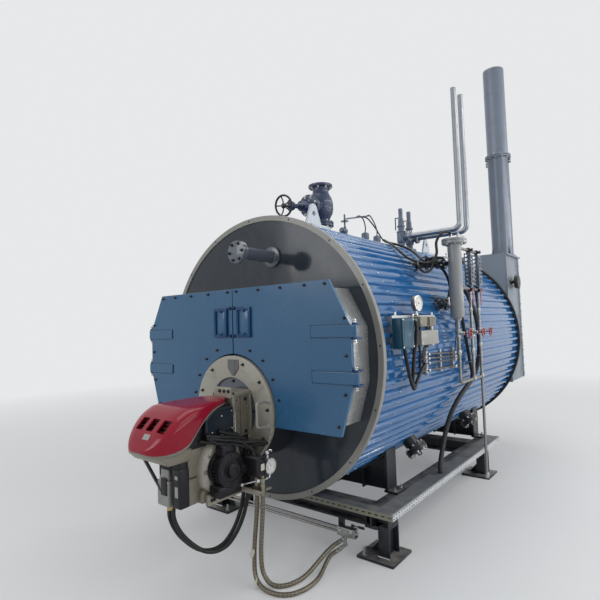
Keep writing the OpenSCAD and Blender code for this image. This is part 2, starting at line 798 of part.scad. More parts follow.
module junction_box() {
  color([0.78, 0.76, 0.68]) placed()
    block([box_x0, 440, panel_z0 + 27], [box_x0 + 70, 730, panel_z0 + 123]);
}

module teal_box() {
  color([0.12, 0.38, 0.50]) placed()
    block([box_x0, 165, panel_z0 + 15], [box_x0 + 74, 365, panel_z0 + 215]);
}

// a small valve and two probes on top of the shell
module top_fittings() {
  color([0.30, 0.32, 0.34]) placed() difference() {
    union() {
      rod_z(22, 0, 1262, shell_top - 130, shell_top + 110);
      rod_z(45, 0, 1262, shell_top + 30, shell_top + 50);
      rod_y(20, 0, shell_top + 90, 1190, 1262);
      rod_z(9, 0, 1262, shell_top + 109, shell_top + 190);
      rod_z(38, 0, 1262, shell_top + 182, shell_top + 192);
      for (y = [1650, 1900]) {
        rod_z(28, 0, y, shell_top - 130, shell_top + 60);
        rod_z(40, 0, y, shell_top + 59, shell_top + 130);
      }
    }
    shell_space();
  }
}

// Rear flue box and chimney

module flue_box() {
  color([0.45, 0.48, 0.50]) placed() difference() {
    union() {
      block([-flue_hx, flue_y0, flue_z0], [flue_hx, flue_y1, flue_z1 - 20]);
      block([-flue_hx - 25, flue_y0 + 40, flue_z1 - 20], [flue_hx + 25, flue_y1 + 25, flue_z1]);
    }
    // room for the gas, open to the chimney
    block([-flue_hx + flue_wall, flue_y0 + flue_wall, flue_z0 + flue_wall],
      [flue_hx - flue_wall, flue_y1 - flue_wall, flue_z1 - 20]);
    rod_z(stack_r - 20, stack_x, stack_y, flue_z1 - 21, flue_z1 + 1);
  }
}

module stack() {
  color([0.40, 0.45, 0.50]) placed() difference() {
    union() {
      rod_z(stack_r, stack_x, stack_y, flue_z1, stack_top_z);
      rod_z(stack_r + 30, stack_x, stack_y, flue_z1, flue_z1 + 12);
      rod_z(stack_r + 30, stack_x, stack_y, stack_joint_z, stack_joint_z + 40);
    }
    rod_z(stack_r - stack_wall, stack_x, stack_y, flue_z1 - 1, stack_top_z + 1);
  }
}

module damper_drive() {
  color([0.30, 0.33, 0.36]) placed() union() {
    rod_x(20, shell_len + 300, flue_z1 - 350, flue_hx, flue_hx + 40);
    rod_x(85, shell_len + 300, flue_z1 - 350, flue_hx + 40, flue_hx + 90);
  }
}

// Oil pipes under the front of the skid

module oil_pipes() {
  color([0.35, 0.35, 0.36]) placed() union() {
    for (z = [124, 152]) rod_x(10, 270, z, -700, hose_end_x + 50);
    // manifold block and its hanger under the front beam
    block([hose_end_x - 80, 250, 106], [hose_end_x + 70, 301, 168]);
    block([hose_end_x - 100, 300, 110], [hose_end_x - 60, 335, beam_z0]);
    block([-470, 250, 106], [-430, 335, 168]);
    block([-470, 300, 110], [-430, 335, beam_z0]);
    // unions that take the two hoses
    rod_y(13, hose_end_x, hose_end_zs[1], hose_2_end_y, 251);
    rod_y(13, hose_end_x, hose_end_zs[0], hose_1_end_y, 246);
    rod_z(13, hose_end_x, 233, hose_end_zs[0], 124);
  }
}

// Hoses, conduits and the cable loom

function unit(v) = v / norm(v);
function tangent(p, i) = unit(p[min(i + 1, len(p) - 1)] - p[max(i - 1, 0)]);
function ring_at(p, i, r, ref, n) = let (t = tangent(p, i), u = unit(cross(t, ref)), v = cross(t, u))
  [for (k = [0 : n - 1]) p[i] + r * (cos(360 * k / n) * u + sin(360 * k / n) * v)];

// a tube of radius r along the points p, with flat ends
module tube(p, r, ref, n = 10) {
  m = len(p);
  polyhedron(points = [for (i = [0 : m - 1]) each ring_at(p, i, r, ref, n)],
    faces = concat([[for (k = [0 : n - 1]) k]],
      [for (i = [0 : m - 2]) for (k = [0 : n - 1])
        [i * n + k, (i + 1) * n + k, (i + 1) * n + (k + 1) % n, i * n + (k + 1) % n]],
      [[for (k = [n - 1 : -1 : 0]) (m - 1) * n + k]]));
}

module oil_hose_1() {
  color([0.30, 0.29, 0.26]) placed() tube(hose_1, hose_r, [1, 0, 0]);
}

module oil_hose_2() {
  color([0.30, 0.29, 0.26]) placed() tube(hose_2, hose_r, [1, 0, 0]);
}

module conduit_1() {
  color([0.04, 0.04, 0.04]) placed() tube(conduit, conduit_r, [0.93, -0.36, 0]);
}

module conduit_2() {
  color([0.04, 0.04, 0.04]) placed()
    tube([for (q = conduit) q + conduit_step], conduit_r, [0.93, -0.36, 0]);
}

module cable_loom() {
  color([0.04, 0.04, 0.04]) placed() tube(loom, loom_r, [1, 0, 0]);
}

shell();
front_ring();
rear_ring();
front_plate();
rear_plate();
smokebox();
right_door();
left_door();
hinge_posts();
burner_throat();
burner_ring();
burner_plate();
burner_body();
burner_head();
burner_hood();
fan_housing();
burner_motor();
oil_pump();
control_boxes();
skid_frame();
legs();
cable_tray();
saddles();
hand_holes();
blind_nozzle();
lifting_lugs();
steam_valve();
steam_wheel();
relief_valves();
vent_pipes();
level_column();
column_valves();
level_gauges();
gauge_pipes();
drain_wheel_1();
drain_wheel_2();
drain_wheel_3();
instrument_panel();
pressure_gauge();
pressure_switches();
junction_box();
teal_box();
top_fittings();
flue_box();
stack();
damper_drive();
oil_pipes();
oil_hose_1();
oil_hose_2();
conduit_1();
conduit_2();
cable_loom();
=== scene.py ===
# Packaged steam boiler on a steel skid: ribbed shell, smokebox doors, oil burner,
# valves, level column, instruments, flue box and chimney.
# Sizes are metres. at() measures y from the front ring's face.
import bpy
import bmesh
from math import atan2, copysign, cos, degrees, pi, radians, sin, sqrt, tan
from mathutils import Matrix, Vector


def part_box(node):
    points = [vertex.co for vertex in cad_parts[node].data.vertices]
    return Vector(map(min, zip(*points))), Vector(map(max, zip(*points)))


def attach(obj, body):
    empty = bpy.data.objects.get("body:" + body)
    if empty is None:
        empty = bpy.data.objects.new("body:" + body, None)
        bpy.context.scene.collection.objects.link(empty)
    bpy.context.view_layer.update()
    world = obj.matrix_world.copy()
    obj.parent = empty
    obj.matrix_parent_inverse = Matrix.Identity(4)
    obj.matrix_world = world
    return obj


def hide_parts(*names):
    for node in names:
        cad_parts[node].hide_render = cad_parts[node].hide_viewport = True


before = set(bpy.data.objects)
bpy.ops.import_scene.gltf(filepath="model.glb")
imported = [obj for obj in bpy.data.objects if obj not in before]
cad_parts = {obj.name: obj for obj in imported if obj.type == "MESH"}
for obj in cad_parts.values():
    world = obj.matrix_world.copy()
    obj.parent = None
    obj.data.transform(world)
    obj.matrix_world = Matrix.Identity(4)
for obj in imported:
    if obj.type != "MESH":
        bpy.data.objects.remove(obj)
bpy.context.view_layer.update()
scene = bpy.context.scene
FRONT = -1.312
AXIS = 1.4
BURNER = 1.04
CROWN = 2.43
RIBS = 84
CROSS_BEAMS = (0.374, 2.45)
SADDLES = (0.7, 2.686)
COL_X, COL_Y = 1.1, 1.17
GAUGE_YS = (1.5, 1.71)
TAP_Z = 1.507
RAIL_X = 1.04
RACK_X = 1.048


def at(x, y, z):
    """A place measured from the front ring's face."""
    return Vector((x, y + FRONT, z))


# Camera

def turn_of(yaw, pitch, roll):
    """The camera's axes from its heading, tilt and lean in degrees."""
    yaw, pitch, roll = (radians(a) for a in (yaw, pitch, roll))
    ahead = Vector((sin(yaw) * cos(pitch), cos(yaw) * cos(pitch), sin(pitch)))
    side = ahead.cross(Vector((0, 0, 1))).normalized()
    top = side.cross(ahead)
    right = side * cos(roll) + top * sin(roll)
    up = top * cos(roll) - side * sin(roll)
    return Matrix((right, up, -ahead)).transposed()


EYE, HEADING, TILT, LEAN, LENS = at(2.428, -2.548, 1.617), -38.39, 3.063, -1.823, 27.75
bpy.ops.object.camera_add(location=EYE)
camera = bpy.context.object
camera.rotation_euler = turn_of(HEADING, TILT, LEAN).to_euler()
camera.data.sensor_width = 36.0
camera.data.lens = LENS
camera.data.clip_end = 200.0
scene.camera = camera


# Finishes: tones are linear RGB, bump depths are metres

class Finish:
    """Shorthand for building one finish out of shader nodes."""

    def __init__(self, name, rough, metal=0.0, coat=0.0, specular=0.5):
        self.mat = bpy.data.materials.new(name)
        self.mat.use_nodes = True
        self.tree = self.mat.node_tree
        self.tree.nodes.clear()
        out = self.add("ShaderNodeOutputMaterial")
        self.skin = self.add("ShaderNodeBsdfPrincipled")
        self.link(self.skin.outputs[0], out.inputs[0])
        self.skin.inputs["Roughness"].default_value = rough
        self.skin.inputs["Metallic"].default_value = metal
        self.skin.inputs["Coat Weight"].default_value = coat
        self.skin.inputs["Coat Roughness"].default_value = 0.05
        self.skin.inputs["Specular IOR Level"].default_value = specular
        self.coord = self.add("ShaderNodeTexCoord")
        self.normal = None

    def add(self, kind, **settings):
        node = self.tree.nodes.new(kind)
        for key, value in settings.items():
            setattr(node, key, value)
        return node

    def link(self, a, b):
        self.tree.links.new(a, b)

    def place(self, stretch=(1, 1, 1), uv=False):
        mapping = self.add("ShaderNodeMapping")
        mapping.inputs["Scale"].default_value = stretch
        self.link(self.coord.outputs["UV" if uv else "Object"], mapping.inputs[0])
        return mapping.outputs[0]

    def noise(self, scale, detail=4.0, rough=0.55, stretch=(1, 1, 1)):
        node = self.add("ShaderNodeTexNoise")
        node.inputs["Scale"].default_value = scale
        node.inputs["Detail"].default_value = detail
        node.inputs["Roughness"].default_value = rough
        self.link(self.place(stretch), node.inputs["Vector"])
        return node.outputs[0]

    def cells(self, scale):
        node = self.add("ShaderNodeTexVoronoi")
        node.inputs["Scale"].default_value = scale
        self.link(self.place(), node.inputs["Vector"])
        return node.outputs["Color"]

    def span(self, value, low, high, a=0.0, b=1.0):
        node = self.add("ShaderNodeMapRange")
        for i, number in enumerate((low, high, a, b)):
            node.inputs[i + 1].default_value = number
        self.link(value, node.inputs[0])
        return node.outputs[0]

    def maths(self, kind, a, b):
        node = self.add("ShaderNodeMath", operation=kind)
        for i, value in enumerate((a, b)):
            if isinstance(value, (int, float)):
                node.inputs[i].default_value = value
            else:
                self.link(value, node.inputs[i])
        return node.outputs[0]

    def times(self, a, b):
        return self.maths("MULTIPLY", a, b)

    def patches(self, value, low, high, amount):
        return self.times(self.span(value, low, high), amount)

    def blend(self, share, a, b):
        node = self.add("ShaderNodeMix", data_type="RGBA")
        for slot, value in ((0, share), (6, a), (7, b)):
            if isinstance(value, tuple):
                node.inputs[slot].default_value = (*value, 1.0)
            elif isinstance(value, (int, float)):
                node.inputs[slot].default_value = value
            else:
                self.link(value, node.inputs[slot])
        return node.outputs[2]

    def colour(self, value):
        self.link(value, self.skin.inputs["Base Color"])

    def gloss(self, value):
        self.link(value, self.skin.inputs["Roughness"])

    def bump(self, height, strength, depth):
        node = self.add("ShaderNodeBump")
        node.inputs["Strength"].default_value = strength
        node.inputs["Distance"].default_value = depth
        self.link(height, node.inputs["Height"])
        if self.normal is not None:
            self.link(self.normal, node.inputs["Normal"])
        self.normal = node.outputs[0]
        self.link(self.normal, self.skin.inputs["Normal"])

    def facing_up(self, low=0.5, high=0.95):
        geometry = self.add("ShaderNodeNewGeometry")
        split = self.add("ShaderNodeSeparateXYZ")
        self.link(geometry.outputs["Normal"], split.inputs[0])
        return self.span(split.outputs[2], low, high)


def shade(colour, k):
    return tuple(min(1.0, c * k) for c in colour)


def paint(name, colour, rough=0.3, coat=0.3, spread=0.1, grime=(0.1, 0.09, 0.08), dirty=0.25,
        peel=0.15, dust=0.2, scale=1.0, metal=0.0, shine=0.5):
    """Brushed or sprayed paint with uneven tone, grime, settled dust and orange peel."""
    f = Finish(name, rough, metal, coat, shine)
    tone = f.blend(f.noise(1.6 * scale, 3), shade(colour, 1 - spread), shade(colour, 1 + spread))
    smear = f.patches(f.noise(7 * scale, 8, 0.68), 0.5, 0.78, dirty)
    tone = f.blend(smear, tone, grime)
    lying = f.times(f.facing_up(), f.span(f.noise(11 * scale, 6), 0.35, 0.7, 0.2 * dust, dust))
    f.colour(f.blend(lying, tone, (0.5, 0.47, 0.42)))
    worn = f.span(f.noise(5 * scale, 7, 0.65), 0.3, 0.75, max(rough - 0.07, 0.03), rough + 0.14)
    f.gloss(f.maths("ADD", worn, f.times(lying, 0.5)))
    f.bump(f.noise(230 * scale, 2), peel, 0.0006)
    return f.mat


def cladding_blue():
    """Glossy blue roofing sheet: long soft dents, faint run marks and dust between the ribs."""
    f = Finish("cladding_blue", 0.1, 0.0, 0.45, 0.4)
    tone = f.blend(f.noise(1.1, 3, stretch=(1, 0.35, 1)), (0.01, 0.1, 0.275), (0.027, 0.165, 0.41))
    runs = f.patches(f.noise(26, 6, 0.6, (1, 0.12, 1)), 0.52, 0.8, 0.35)
    tone = f.blend(runs, tone, (0.08, 0.14, 0.22))
    lying = f.times(f.facing_up(0.3, 1.0), f.span(f.noise(9, 7, 0.65), 0.35, 0.75, 0.0, 0.09))
    f.colour(f.blend(lying, tone, (0.4, 0.46, 0.53)))
    f.gloss(f.span(f.noise(6, 6), 0.3, 0.8, 0.06, 0.17))
    f.bump(f.noise(3.6, 3, 0.5, (1, 0.28, 1)), 0.62, 0.012)
    f.bump(f.noise(17.0, 2, 0.5, (1, 0.13, 1)), 0.45, 0.0026)
    f.bump(f.noise(240, 2), 0.05, 0.0005)
    return f.mat


def door_blue():
    """Satin blue enamel on heavy plate, flat but slightly wavy, with faint brush marks."""
    f = Finish("door_blue", 0.28, 0.0, 0.12, 0.4)
    tone = f.blend(f.noise(0.9, 3), (0.022, 0.096, 0.198), (0.035, 0.124, 0.245))
    rub = f.patches(f.noise(5, 8, 0.7), 0.55, 0.85, 0.22)
    tone = f.blend(rub, tone, (0.1, 0.16, 0.22))
    f.colour(f.blend(f.times(f.facing_up(), 0.35), tone, (0.42, 0.42, 0.4)))
    f.gloss(f.span(f.noise(4, 6, 0.6), 0.3, 0.75, 0.18, 0.34))
    f.bump(f.noise(2.0, 2), 0.2, 0.006)
    f.bump(f.noise(60, 3, 0.5, (1, 1, 0.15)), 0.06, 0.0006)
    return f.mat


def plate_slate():
    """Glossy slate grey end plate that mirrors softly, with wipe marks."""
    f = Finish("plate_slate", 0.12, 0.0, 0.12, 0.28)
    tone = f.blend(f.noise(1.2, 4), (0.022, 0.03, 0.041), (0.038, 0.047, 0.061))
    f.colour(f.blend(f.patches(f.noise(9, 8, 0.7, (1, 1, 0.4)), 0.5, 0.8, 0.3),
        tone, (0.105, 0.112, 0.12)))
    f.gloss(f.span(f.noise(7, 7, 0.65), 0.3, 0.8, 0.08, 0.26))
    f.bump(f.noise(1.7, 2), 0.25, 0.006)
    return f.mat


def bare_sheet():
    """Thin bright sheet with rolled grain and fingerprints."""
    f = Finish("bare_sheet", 0.26, 0.65)
    f.colour(f.blend(f.noise(4, 6), (0.5, 0.51, 0.51), (0.66, 0.67, 0.66)))
    f.gloss(f.span(f.noise(9, 7, 0.7), 0.3, 0.75, 0.14, 0.36))
    f.bump(f.noise(90, 3, 0.5, (1, 0.05, 1)), 0.1, 0.0002)
    f.bump(f.noise(3, 2), 0.2, 0.004)
    return f.mat


def cast_paint(name, colour, rough=0.42, coarse=1.0):
    """Paint over a rough sand casting."""
    f = Finish(name, rough, 0.0, 0.15)
    tone = f.blend(f.noise(5, 5), shade(colour, 0.84), shade(colour, 1.12))
    pits = f.span(f.noise(60, 6, 0.7), 0.55, 0.72)
    tone = f.blend(f.times(pits, 0.35), tone, shade(colour, 0.35))
    oily = f.patches(f.noise(8, 8, 0.72), 0.52, 0.75, 0.45)
    f.colour(f.blend(oily, tone, (0.07, 0.058, 0.042)))
    f.gloss(f.span(f.noise(8, 8, 0.72), 0.4, 0.75, rough + 0.08, rough - 0.14))
    f.bump(f.noise(190 * coarse, 5, 0.7), 0.35, 0.001)
    f.bump(f.noise(30, 3), 0.12, 0.002)
    return f.mat


def metal(name, colour, rough=0.3, stretch=(1, 1, 1), grime=0.3, grain=160.0,
        depth=0.0006, rust=0.0):
    """Bare metal with drawn or turned grain, dull patches and a little rust."""
    f = Finish(name, rough, 0.95)
    tone = f.blend(f.noise(10, 6), shade(colour, 0.78), shade(colour, 1.08))
    tone = f.blend(f.patches(f.noise(22, 8, 0.7), 0.5, 0.75, grime), tone, shade(colour, 0.25))
    if rust:
        tone = f.blend(f.patches(f.noise(35, 8, 0.75), 0.6, 0.72, rust), tone, (0.22, 0.08, 0.03))
    f.colour(tone)
    f.gloss(f.span(f.noise(30, 6, 0.7), 0.3, 0.75, max(0.05, rough - 0.1), rough + 0.2))
    f.bump(f.noise(grain, 4, 0.6, stretch), 0.25, depth)
    return f.mat


def galvanised():
    """Hot dipped zinc with its leafy spangle."""
    f = Finish("galvanised", 0.42, 0.7)
    leaf = f.add("ShaderNodeRGBToBW")
    f.link(f.cells(70), leaf.inputs[0])
    tone = f.blend(leaf.outputs[0], (0.44, 0.46, 0.47), (0.62, 0.64, 0.65))
    f.colour(f.blend(f.patches(f.noise(12, 8, 0.7), 0.5, 0.8, 0.4), tone, (0.32, 0.31, 0.28)))
    f.gloss(f.span(leaf.outputs[0], 0.2, 0.9, 0.3, 0.52))
    f.bump(f.noise(80, 5, 0.6), 0.15, 0.0006)
    return f.mat


def hose_braid(name, wire, gap, rough=0.45, metallic=0.5, turns=22.0):
    """Woven hose cover: two sets of slanted strands, laid along the tube's own map."""
    f = Finish(name, rough, metallic)
    split = f.add("ShaderNodeSeparateXYZ")
    f.link(f.place(uv=True), split.inputs[0])
    strands_round, whole_turn = 8.0, 6.2832
    strands = []
    for lean in (1.0, -1.0):
        around = f.times(split.outputs[0], strands_round * whole_turn)
        along = f.times(split.outputs[1], turns * whole_turn * lean)
        wave = f.maths("SINE", f.maths("ADD", around, along), 0.0)
        strands.append(f.span(wave, -0.6, 0.8))
    weave = f.maths("MAXIMUM", strands[0], strands[1])
    tone = f.blend(weave, gap, wire)
    f.colour(f.blend(f.patches(f.noise(14, 7, 0.7), 0.5, 0.75, 0.5), tone, shade(gap, 0.8)))
    f.gloss(f.span(f.noise(20, 5), 0.3, 0.7, rough - 0.08, rough + 0.15))
    f.bump(weave, 0.5, 0.0012)
    return f.mat


def rubber(name):
    """Dull black rubber with dusty patches."""
    colour, rough = (0.012, 0.012, 0.013), 0.42
    f = Finish(name, rough, specular=0.3)
    tone = f.blend(f.noise(18, 6), shade(colour, 0.7), shade(colour, 1.6))
    f.colour(f.blend(f.patches(f.noise(9, 8, 0.7), 0.5, 0.8, 0.3), tone, (0.1, 0.095, 0.085)))
    f.gloss(f.span(f.noise(25, 6), 0.3, 0.7, rough - 0.1, rough + 0.16))
    f.bump(f.noise(320, 3), 0.15, 0.0004)
    return f.mat


def hood_red():
    """Deep glossy red moulded hood with fine scratches and a wiped film of dust."""
    f = Finish("hood_red", 0.15, 0.0, 0.12, 0.22)
    tone = f.blend(f.noise(2.4, 4), (0.24, 0.004, 0.018), (0.34, 0.007, 0.027))
    film = f.patches(f.noise(9, 8, 0.7, (1, 1, 0.5)), 0.5, 0.85, 0.06)
    f.colour(f.blend(film, tone, (0.24, 0.07, 0.07)))
    f.gloss(f.span(f.noise(12, 7, 0.7), 0.35, 0.8, 0.1, 0.26))
    f.bump(f.noise(4, 2), 0.1, 0.003)
    f.bump(f.noise(260, 2), 0.03, 0.0004)
    return f.mat


def dial_face(name, centre, axis, span=0.05):
    """White dial: a ring of ticks and a coloured arc, drawn round the dial's own axis."""
    f = Finish(name, 0.25, 0.0, 0.5)
    side = Vector(axis).normalized().cross(Vector((0, 0, 1))).normalized()
    parts = []
    for direction in (side, Vector((0, 0, 1))):
        dot = f.add("ShaderNodeVectorMath", operation="DOT_PRODUCT")
        move = f.add("ShaderNodeVectorMath", operation="SUBTRACT")
        f.link(f.coord.outputs["Object"], move.inputs[0])
        move.inputs[1].default_value = centre
        f.link(move.outputs[0], dot.inputs[0])
        dot.inputs[1].default_value = direction
        parts.append(dot.outputs["Value"])
    angle = f.maths("ARCTAN2", parts[0], parts[1])
    radius = f.maths("SQRT", f.maths("ADD", f.times(parts[0], parts[0]),
        f.times(parts[1], parts[1])), 0.0)
    teeth = f.maths("GREATER_THAN", f.maths("COSINE", f.times(angle, 30.0), 0.0), 0.62)
    band = f.times(f.maths("GREATER_THAN", radius, span * 0.74),
        f.maths("LESS_THAN", radius, span * 0.92))
    open_top = f.maths("LESS_THAN", f.maths("ABSOLUTE", angle, 0.0), 2.3)
    marks = f.times(f.times(teeth, band), open_top)
    red = f.times(f.times(f.maths("GREATER_THAN", angle, 1.2), open_top),
        f.times(f.maths("GREATER_THAN", radius, span * 0.62),
        f.maths("LESS_THAN", radius, span * 0.7)))
    white = f.blend(f.noise(30, 4), (0.7, 0.7, 0.66), (0.8, 0.8, 0.77))
    f.colour(f.blend(red, f.blend(marks, white, (0.03, 0.03, 0.03)), (0.55, 0.03, 0.02)))
    return f.mat


CLAD = cladding_blue()
DOOR = door_blue()
DOOR_DEEP = paint("door_deep_blue", (0.004, 0.05, 0.145), 0.3, 0.05, dust=0.03, shine=0.25)
SLATE = plate_slate()
RING = paint("ring_cream", (0.24, 0.238, 0.214), 0.34, 0.2, 0.08,
    (0.14, 0.12, 0.09), 0.35, 0.2, 0.1)
COLLAR = cast_paint("collar_cream", (0.36, 0.345, 0.29), 0.32, 0.8)
BLACK = paint("black_steel", (0.014, 0.017, 0.023), 0.36, 0.15, 0.3, (0.06, 0.056, 0.052),
    0.4, 0.3, 0.4, shine=0.3)
TRAY = paint("tray_grey", (0.105, 0.11, 0.115), 0.42, 0.15, 0.12,
    (0.16, 0.15, 0.14), 0.3, 0.2, 0.35)
SHEET = bare_sheet()
CAST = cast_paint("olive_casting", (0.215, 0.195, 0.15))
LIP = paint("hood_lip_grey", (0.2, 0.19, 0.16), 0.36, 0.2, 0.1, (0.1, 0.09, 0.07), 0.3, 0.2, 0.2)
STRUT = paint("strut_olive", (0.245, 0.24, 0.185), 0.36, 0.2, 0.1,
    (0.1, 0.09, 0.07), 0.35, 0.2, 0.2)
VOLUTE = cast_paint("volute_cream", (0.47, 0.44, 0.38), 0.26, 0.7)
HEAD = paint("head_cover", (0.008, 0.016, 0.024), 0.3, 0.1, 0.2, (0.04, 0.042, 0.04),
    0.3, 0.2, 0.15, shine=0.25)
CREAM = cast_paint("cream_casting", (0.31, 0.29, 0.23), 0.38, 0.7)
DARKBLUE = paint("valve_navy", (0.017, 0.036, 0.09), 0.32, 0.2, 0.12,
    (0.04, 0.045, 0.06), 0.2, 0.06, 0.1)
NOZZLE = paint("nozzle_slate", (0.075, 0.09, 0.118), 0.3, 0.4, 0.15,
    (0.1, 0.1, 0.1), 0.35, 0.25, 0.15)
VALVE = paint("valve_greyblue", (0.098, 0.133, 0.188), 0.36, 0.25, 0.14,
    (0.06, 0.06, 0.06), 0.4, 0.3, 0.3)
PLASTIC = paint("black_plastic", (0.012, 0.012, 0.015), 0.38, 0.05, 0.2, (0.05, 0.046, 0.04),
    0.3, 0.25, 0.2, shine=0.25)
MOTOR = paint("motor_black", (0.008, 0.008, 0.012), 0.32, 0.1, 0.2, (0.04, 0.036, 0.03),
    0.3, 0.2, 0.12, shine=0.22)
GREYBOX = paint("box_grey", (0.31, 0.305, 0.28), 0.38, 0.15, 0.06,
    (0.18, 0.17, 0.15), 0.3, 0.15, 0.25)
COLUMN = paint("column_grey", (0.265, 0.275, 0.28), 0.34, 0.25, 0.07,
    (0.17, 0.16, 0.14), 0.3, 0.15, 0.2)
FLUE = paint("flue_grey", (0.178, 0.214, 0.258), 0.38, 0.2, 0.08, (0.16, 0.13, 0.1), 0.4, 0.2, 0.3)
STACK = paint("stack_greyblue", (0.132, 0.164, 0.216), 0.36, 0.25, 0.1,
    (0.13, 0.11, 0.09), 0.4, 0.2, 0.15)
TEAL = paint("teal_paint", (0.015, 0.074, 0.12), 0.32, 0.05, 0.1, (0.05, 0.07, 0.08),
    0.2, 0.15, 0.05, shine=0.25)
LUG = paint("lug_white", (0.62, 0.66, 0.71), 0.42, 0.1, 0.06, (0.28, 0.27, 0.25),
    0.5, 0.3, 0.2, 4.0)
RED = paint("wheel_red", (0.33, 0.018, 0.024), 0.28, 0.4, 0.12, (0.1, 0.04, 0.03),
    0.35, 0.2, 0.15, 6.0)
STEEL = metal("plain_steel", (0.46, 0.46, 0.45), 0.32, rust=0.5)
BRIGHT = metal("bright_steel", (0.62, 0.63, 0.64), 0.2, grime=0.2)
VENT = metal("polished_pipe", (0.29, 0.305, 0.335), 0.34, (1, 1, 0.05), 0.06, 60.0, 0.00004)
PIPE = metal("drain_pipe_steel", (0.31, 0.3, 0.285), 0.38, (1, 1, 0.1), 0.35, 120.0, rust=0.35)
DIMPIPE = metal("dull_small_pipe", (0.17, 0.17, 0.175), 0.4, (1, 0.1, 1), 0.35, 120.0, rust=0.2)
BRASS = metal("brass", (0.52, 0.38, 0.17), 0.3, grime=0.35)
FERRULE = metal("ferrule_steel", (0.3, 0.275, 0.215), 0.36, grime=0.4)
ZINC = galvanised()
PUNCHED = paint("bright_zinc_strip", (0.7, 0.71, 0.72), 0.34, 0.1, 0.08, (0.3, 0.29, 0.27),
    0.25, 0.15, 0.15, 5.0, 0.4)
HOOD = hood_red()
BRAID = hose_braid("hose_braid", (0.25, 0.22, 0.165), (0.035, 0.03, 0.024))
LOOMSKIN = hose_braid("loom_wrap", (0.03, 0.03, 0.032), (0.008, 0.008, 0.009), 0.5, 0.0, 14.0)
RUBBER = rubber("black_rubber")
MINT = paint("mint_switch", (0.13, 0.33, 0.35), 0.34, 0.2, 0.1, (0.1, 0.1, 0.09),
    0.3, 0.2, 0.15, 6.0)
BROWN = paint("gauge_case_brown", (0.23, 0.15, 0.095), 0.3, 0.3, 0.15,
    (0.1, 0.08, 0.06), 0.35, 0.2, 0.2, 8.0)
GLASSBAR = paint("reflex_glass", (0.02, 0.026, 0.028), 0.08, 0.9, 0.2,
    (0.06, 0.07, 0.07), 0.3, 0.05, 0.0, 9.0)
PAPER = paint("paper_tag", (0.62, 0.6, 0.52), 0.6, 0.0, 0.06, (0.35, 0.31, 0.24),
    0.4, 0.1, 0.0, 8.0)
CLEAR = paint("smoked_cover", (0.2, 0.2, 0.195), 0.16, 0.6, 0.1, (0.12, 0.11, 0.09),
    0.3, 0.1, 0.1, 5.0)


# Modelling by hand: put down, pick up, shape, settle

def put_down():
    if bpy.context.object and bpy.context.object.mode != "OBJECT":
        bpy.ops.object.mode_set(mode="OBJECT")
    bpy.ops.object.select_all(action="DESELECT")


def take(obj):
    put_down()
    obj.select_set(True)
    bpy.context.view_layer.objects.active = obj
    return obj


def fix_place(obj):
    take(obj)
    bpy.ops.object.transform_apply(location=True, rotation=True, scale=True)
    return obj


def choose(obj, faces=None, edges=None):
    """Enters edit mode with the faces or edges chosen by their place."""
    take(obj)
    bpy.ops.object.mode_set(mode="EDIT")
    bpy.ops.mesh.select_mode(type="FACE" if faces else "EDGE")
    bpy.ops.mesh.select_all(action="DESELECT")
    mesh = bmesh.from_edit_mesh(obj.data)
    if faces:
        for face in mesh.faces:
            if faces(face.calc_center_median(), face.normal):
                face.select_set(True)
    if edges:
        for edge in mesh.edges:
            if edges(edge.verts[0].co, edge.verts[1].co):
                edge.select_set(True)
    bmesh.update_edit_mesh(obj.data)


def set_in(obj, faces, *steps):
    """Insets the chosen faces, one (width, depth) step after another."""
    choose(obj, faces=faces)
    for width, depth in steps:
        bpy.ops.mesh.inset(thickness=width, depth=depth)
    put_down()
    return obj


def outward(obj):
    """Merges doubles and points every face outwards."""
    take(obj)
    bpy.ops.object.mode_set(mode="EDIT")
    bpy.ops.mesh.select_all(action="SELECT")
    bpy.ops.mesh.remove_doubles(threshold=0.00005)
    bpy.ops.mesh.normals_make_consistent(inside=False)
    bpy.ops.object.mode_set(mode="OBJECT")
    return obj


def block(a, b, soft=0.004, segments=2):
    """A block between any two opposite corners, its edges eased."""
    lo, hi = Vector(map(min, a, b)), Vector(map(max, a, b))
    put_down()
    bpy.ops.mesh.primitive_cube_add(size=1, location=(lo + hi) / 2, scale=hi - lo)
    obj = fix_place(bpy.context.object)
    if soft:
        choose(obj, edges=lambda a, b: True)
        bpy.ops.mesh.bevel(offset=soft, segments=segments, affect="EDGES")
        put_down()
    return obj


def slab(a, b, soft=0.004, segments=2):
    """A block between two corners measured from the front ring's face."""
    return block(at(*a), at(*b), soft, segments)


def turned(profile, sides=48, ring=False, per_metre=1000):
    """A piece turned on a lathe about +Z from (radius, height) steps in millimetres."""
    put_down()
    profile = [(r / per_metre, z / per_metre) for r, z in profile]
    r, z = profile[0]
    bpy.ops.mesh.primitive_circle_add(vertices=sides, radius=r, location=(0, 0, z),
        fill_type="NOTHING" if ring else "NGON")
    obj = fix_place(bpy.context.object)
    take(obj)
    bpy.ops.object.mode_set(mode="EDIT")
    bpy.ops.mesh.select_mode(type="VERT")
    bpy.ops.mesh.select_all(action="SELECT")
    for r2, z2 in profile[1:]:
        bpy.ops.mesh.extrude_region_move(TRANSFORM_OT_translate={"value": (0, 0, z2 - z)})
        k = r2 / r
        bpy.ops.transform.resize(value=(k, k, 1), center_override=(0, 0, z2))
        r, z = r2, z2
    put_down()
    return outward(obj)


def towards(direction):
    """The turn that points +Z in a direction."""
    return Vector(direction).to_track_quat("Z", "Y").to_matrix().to_4x4()


def swing(angle, axis):
    """A turn by an angle in degrees about X, Y or Z."""
    return Matrix.Rotation(radians(angle), 4, axis)


def aim(obj, start, direction):
    """Turns a piece made along +Z towards a direction and moves it to its start."""
    obj.matrix_world = Matrix.Translation(start) @ towards(direction)
    return fix_place(obj)


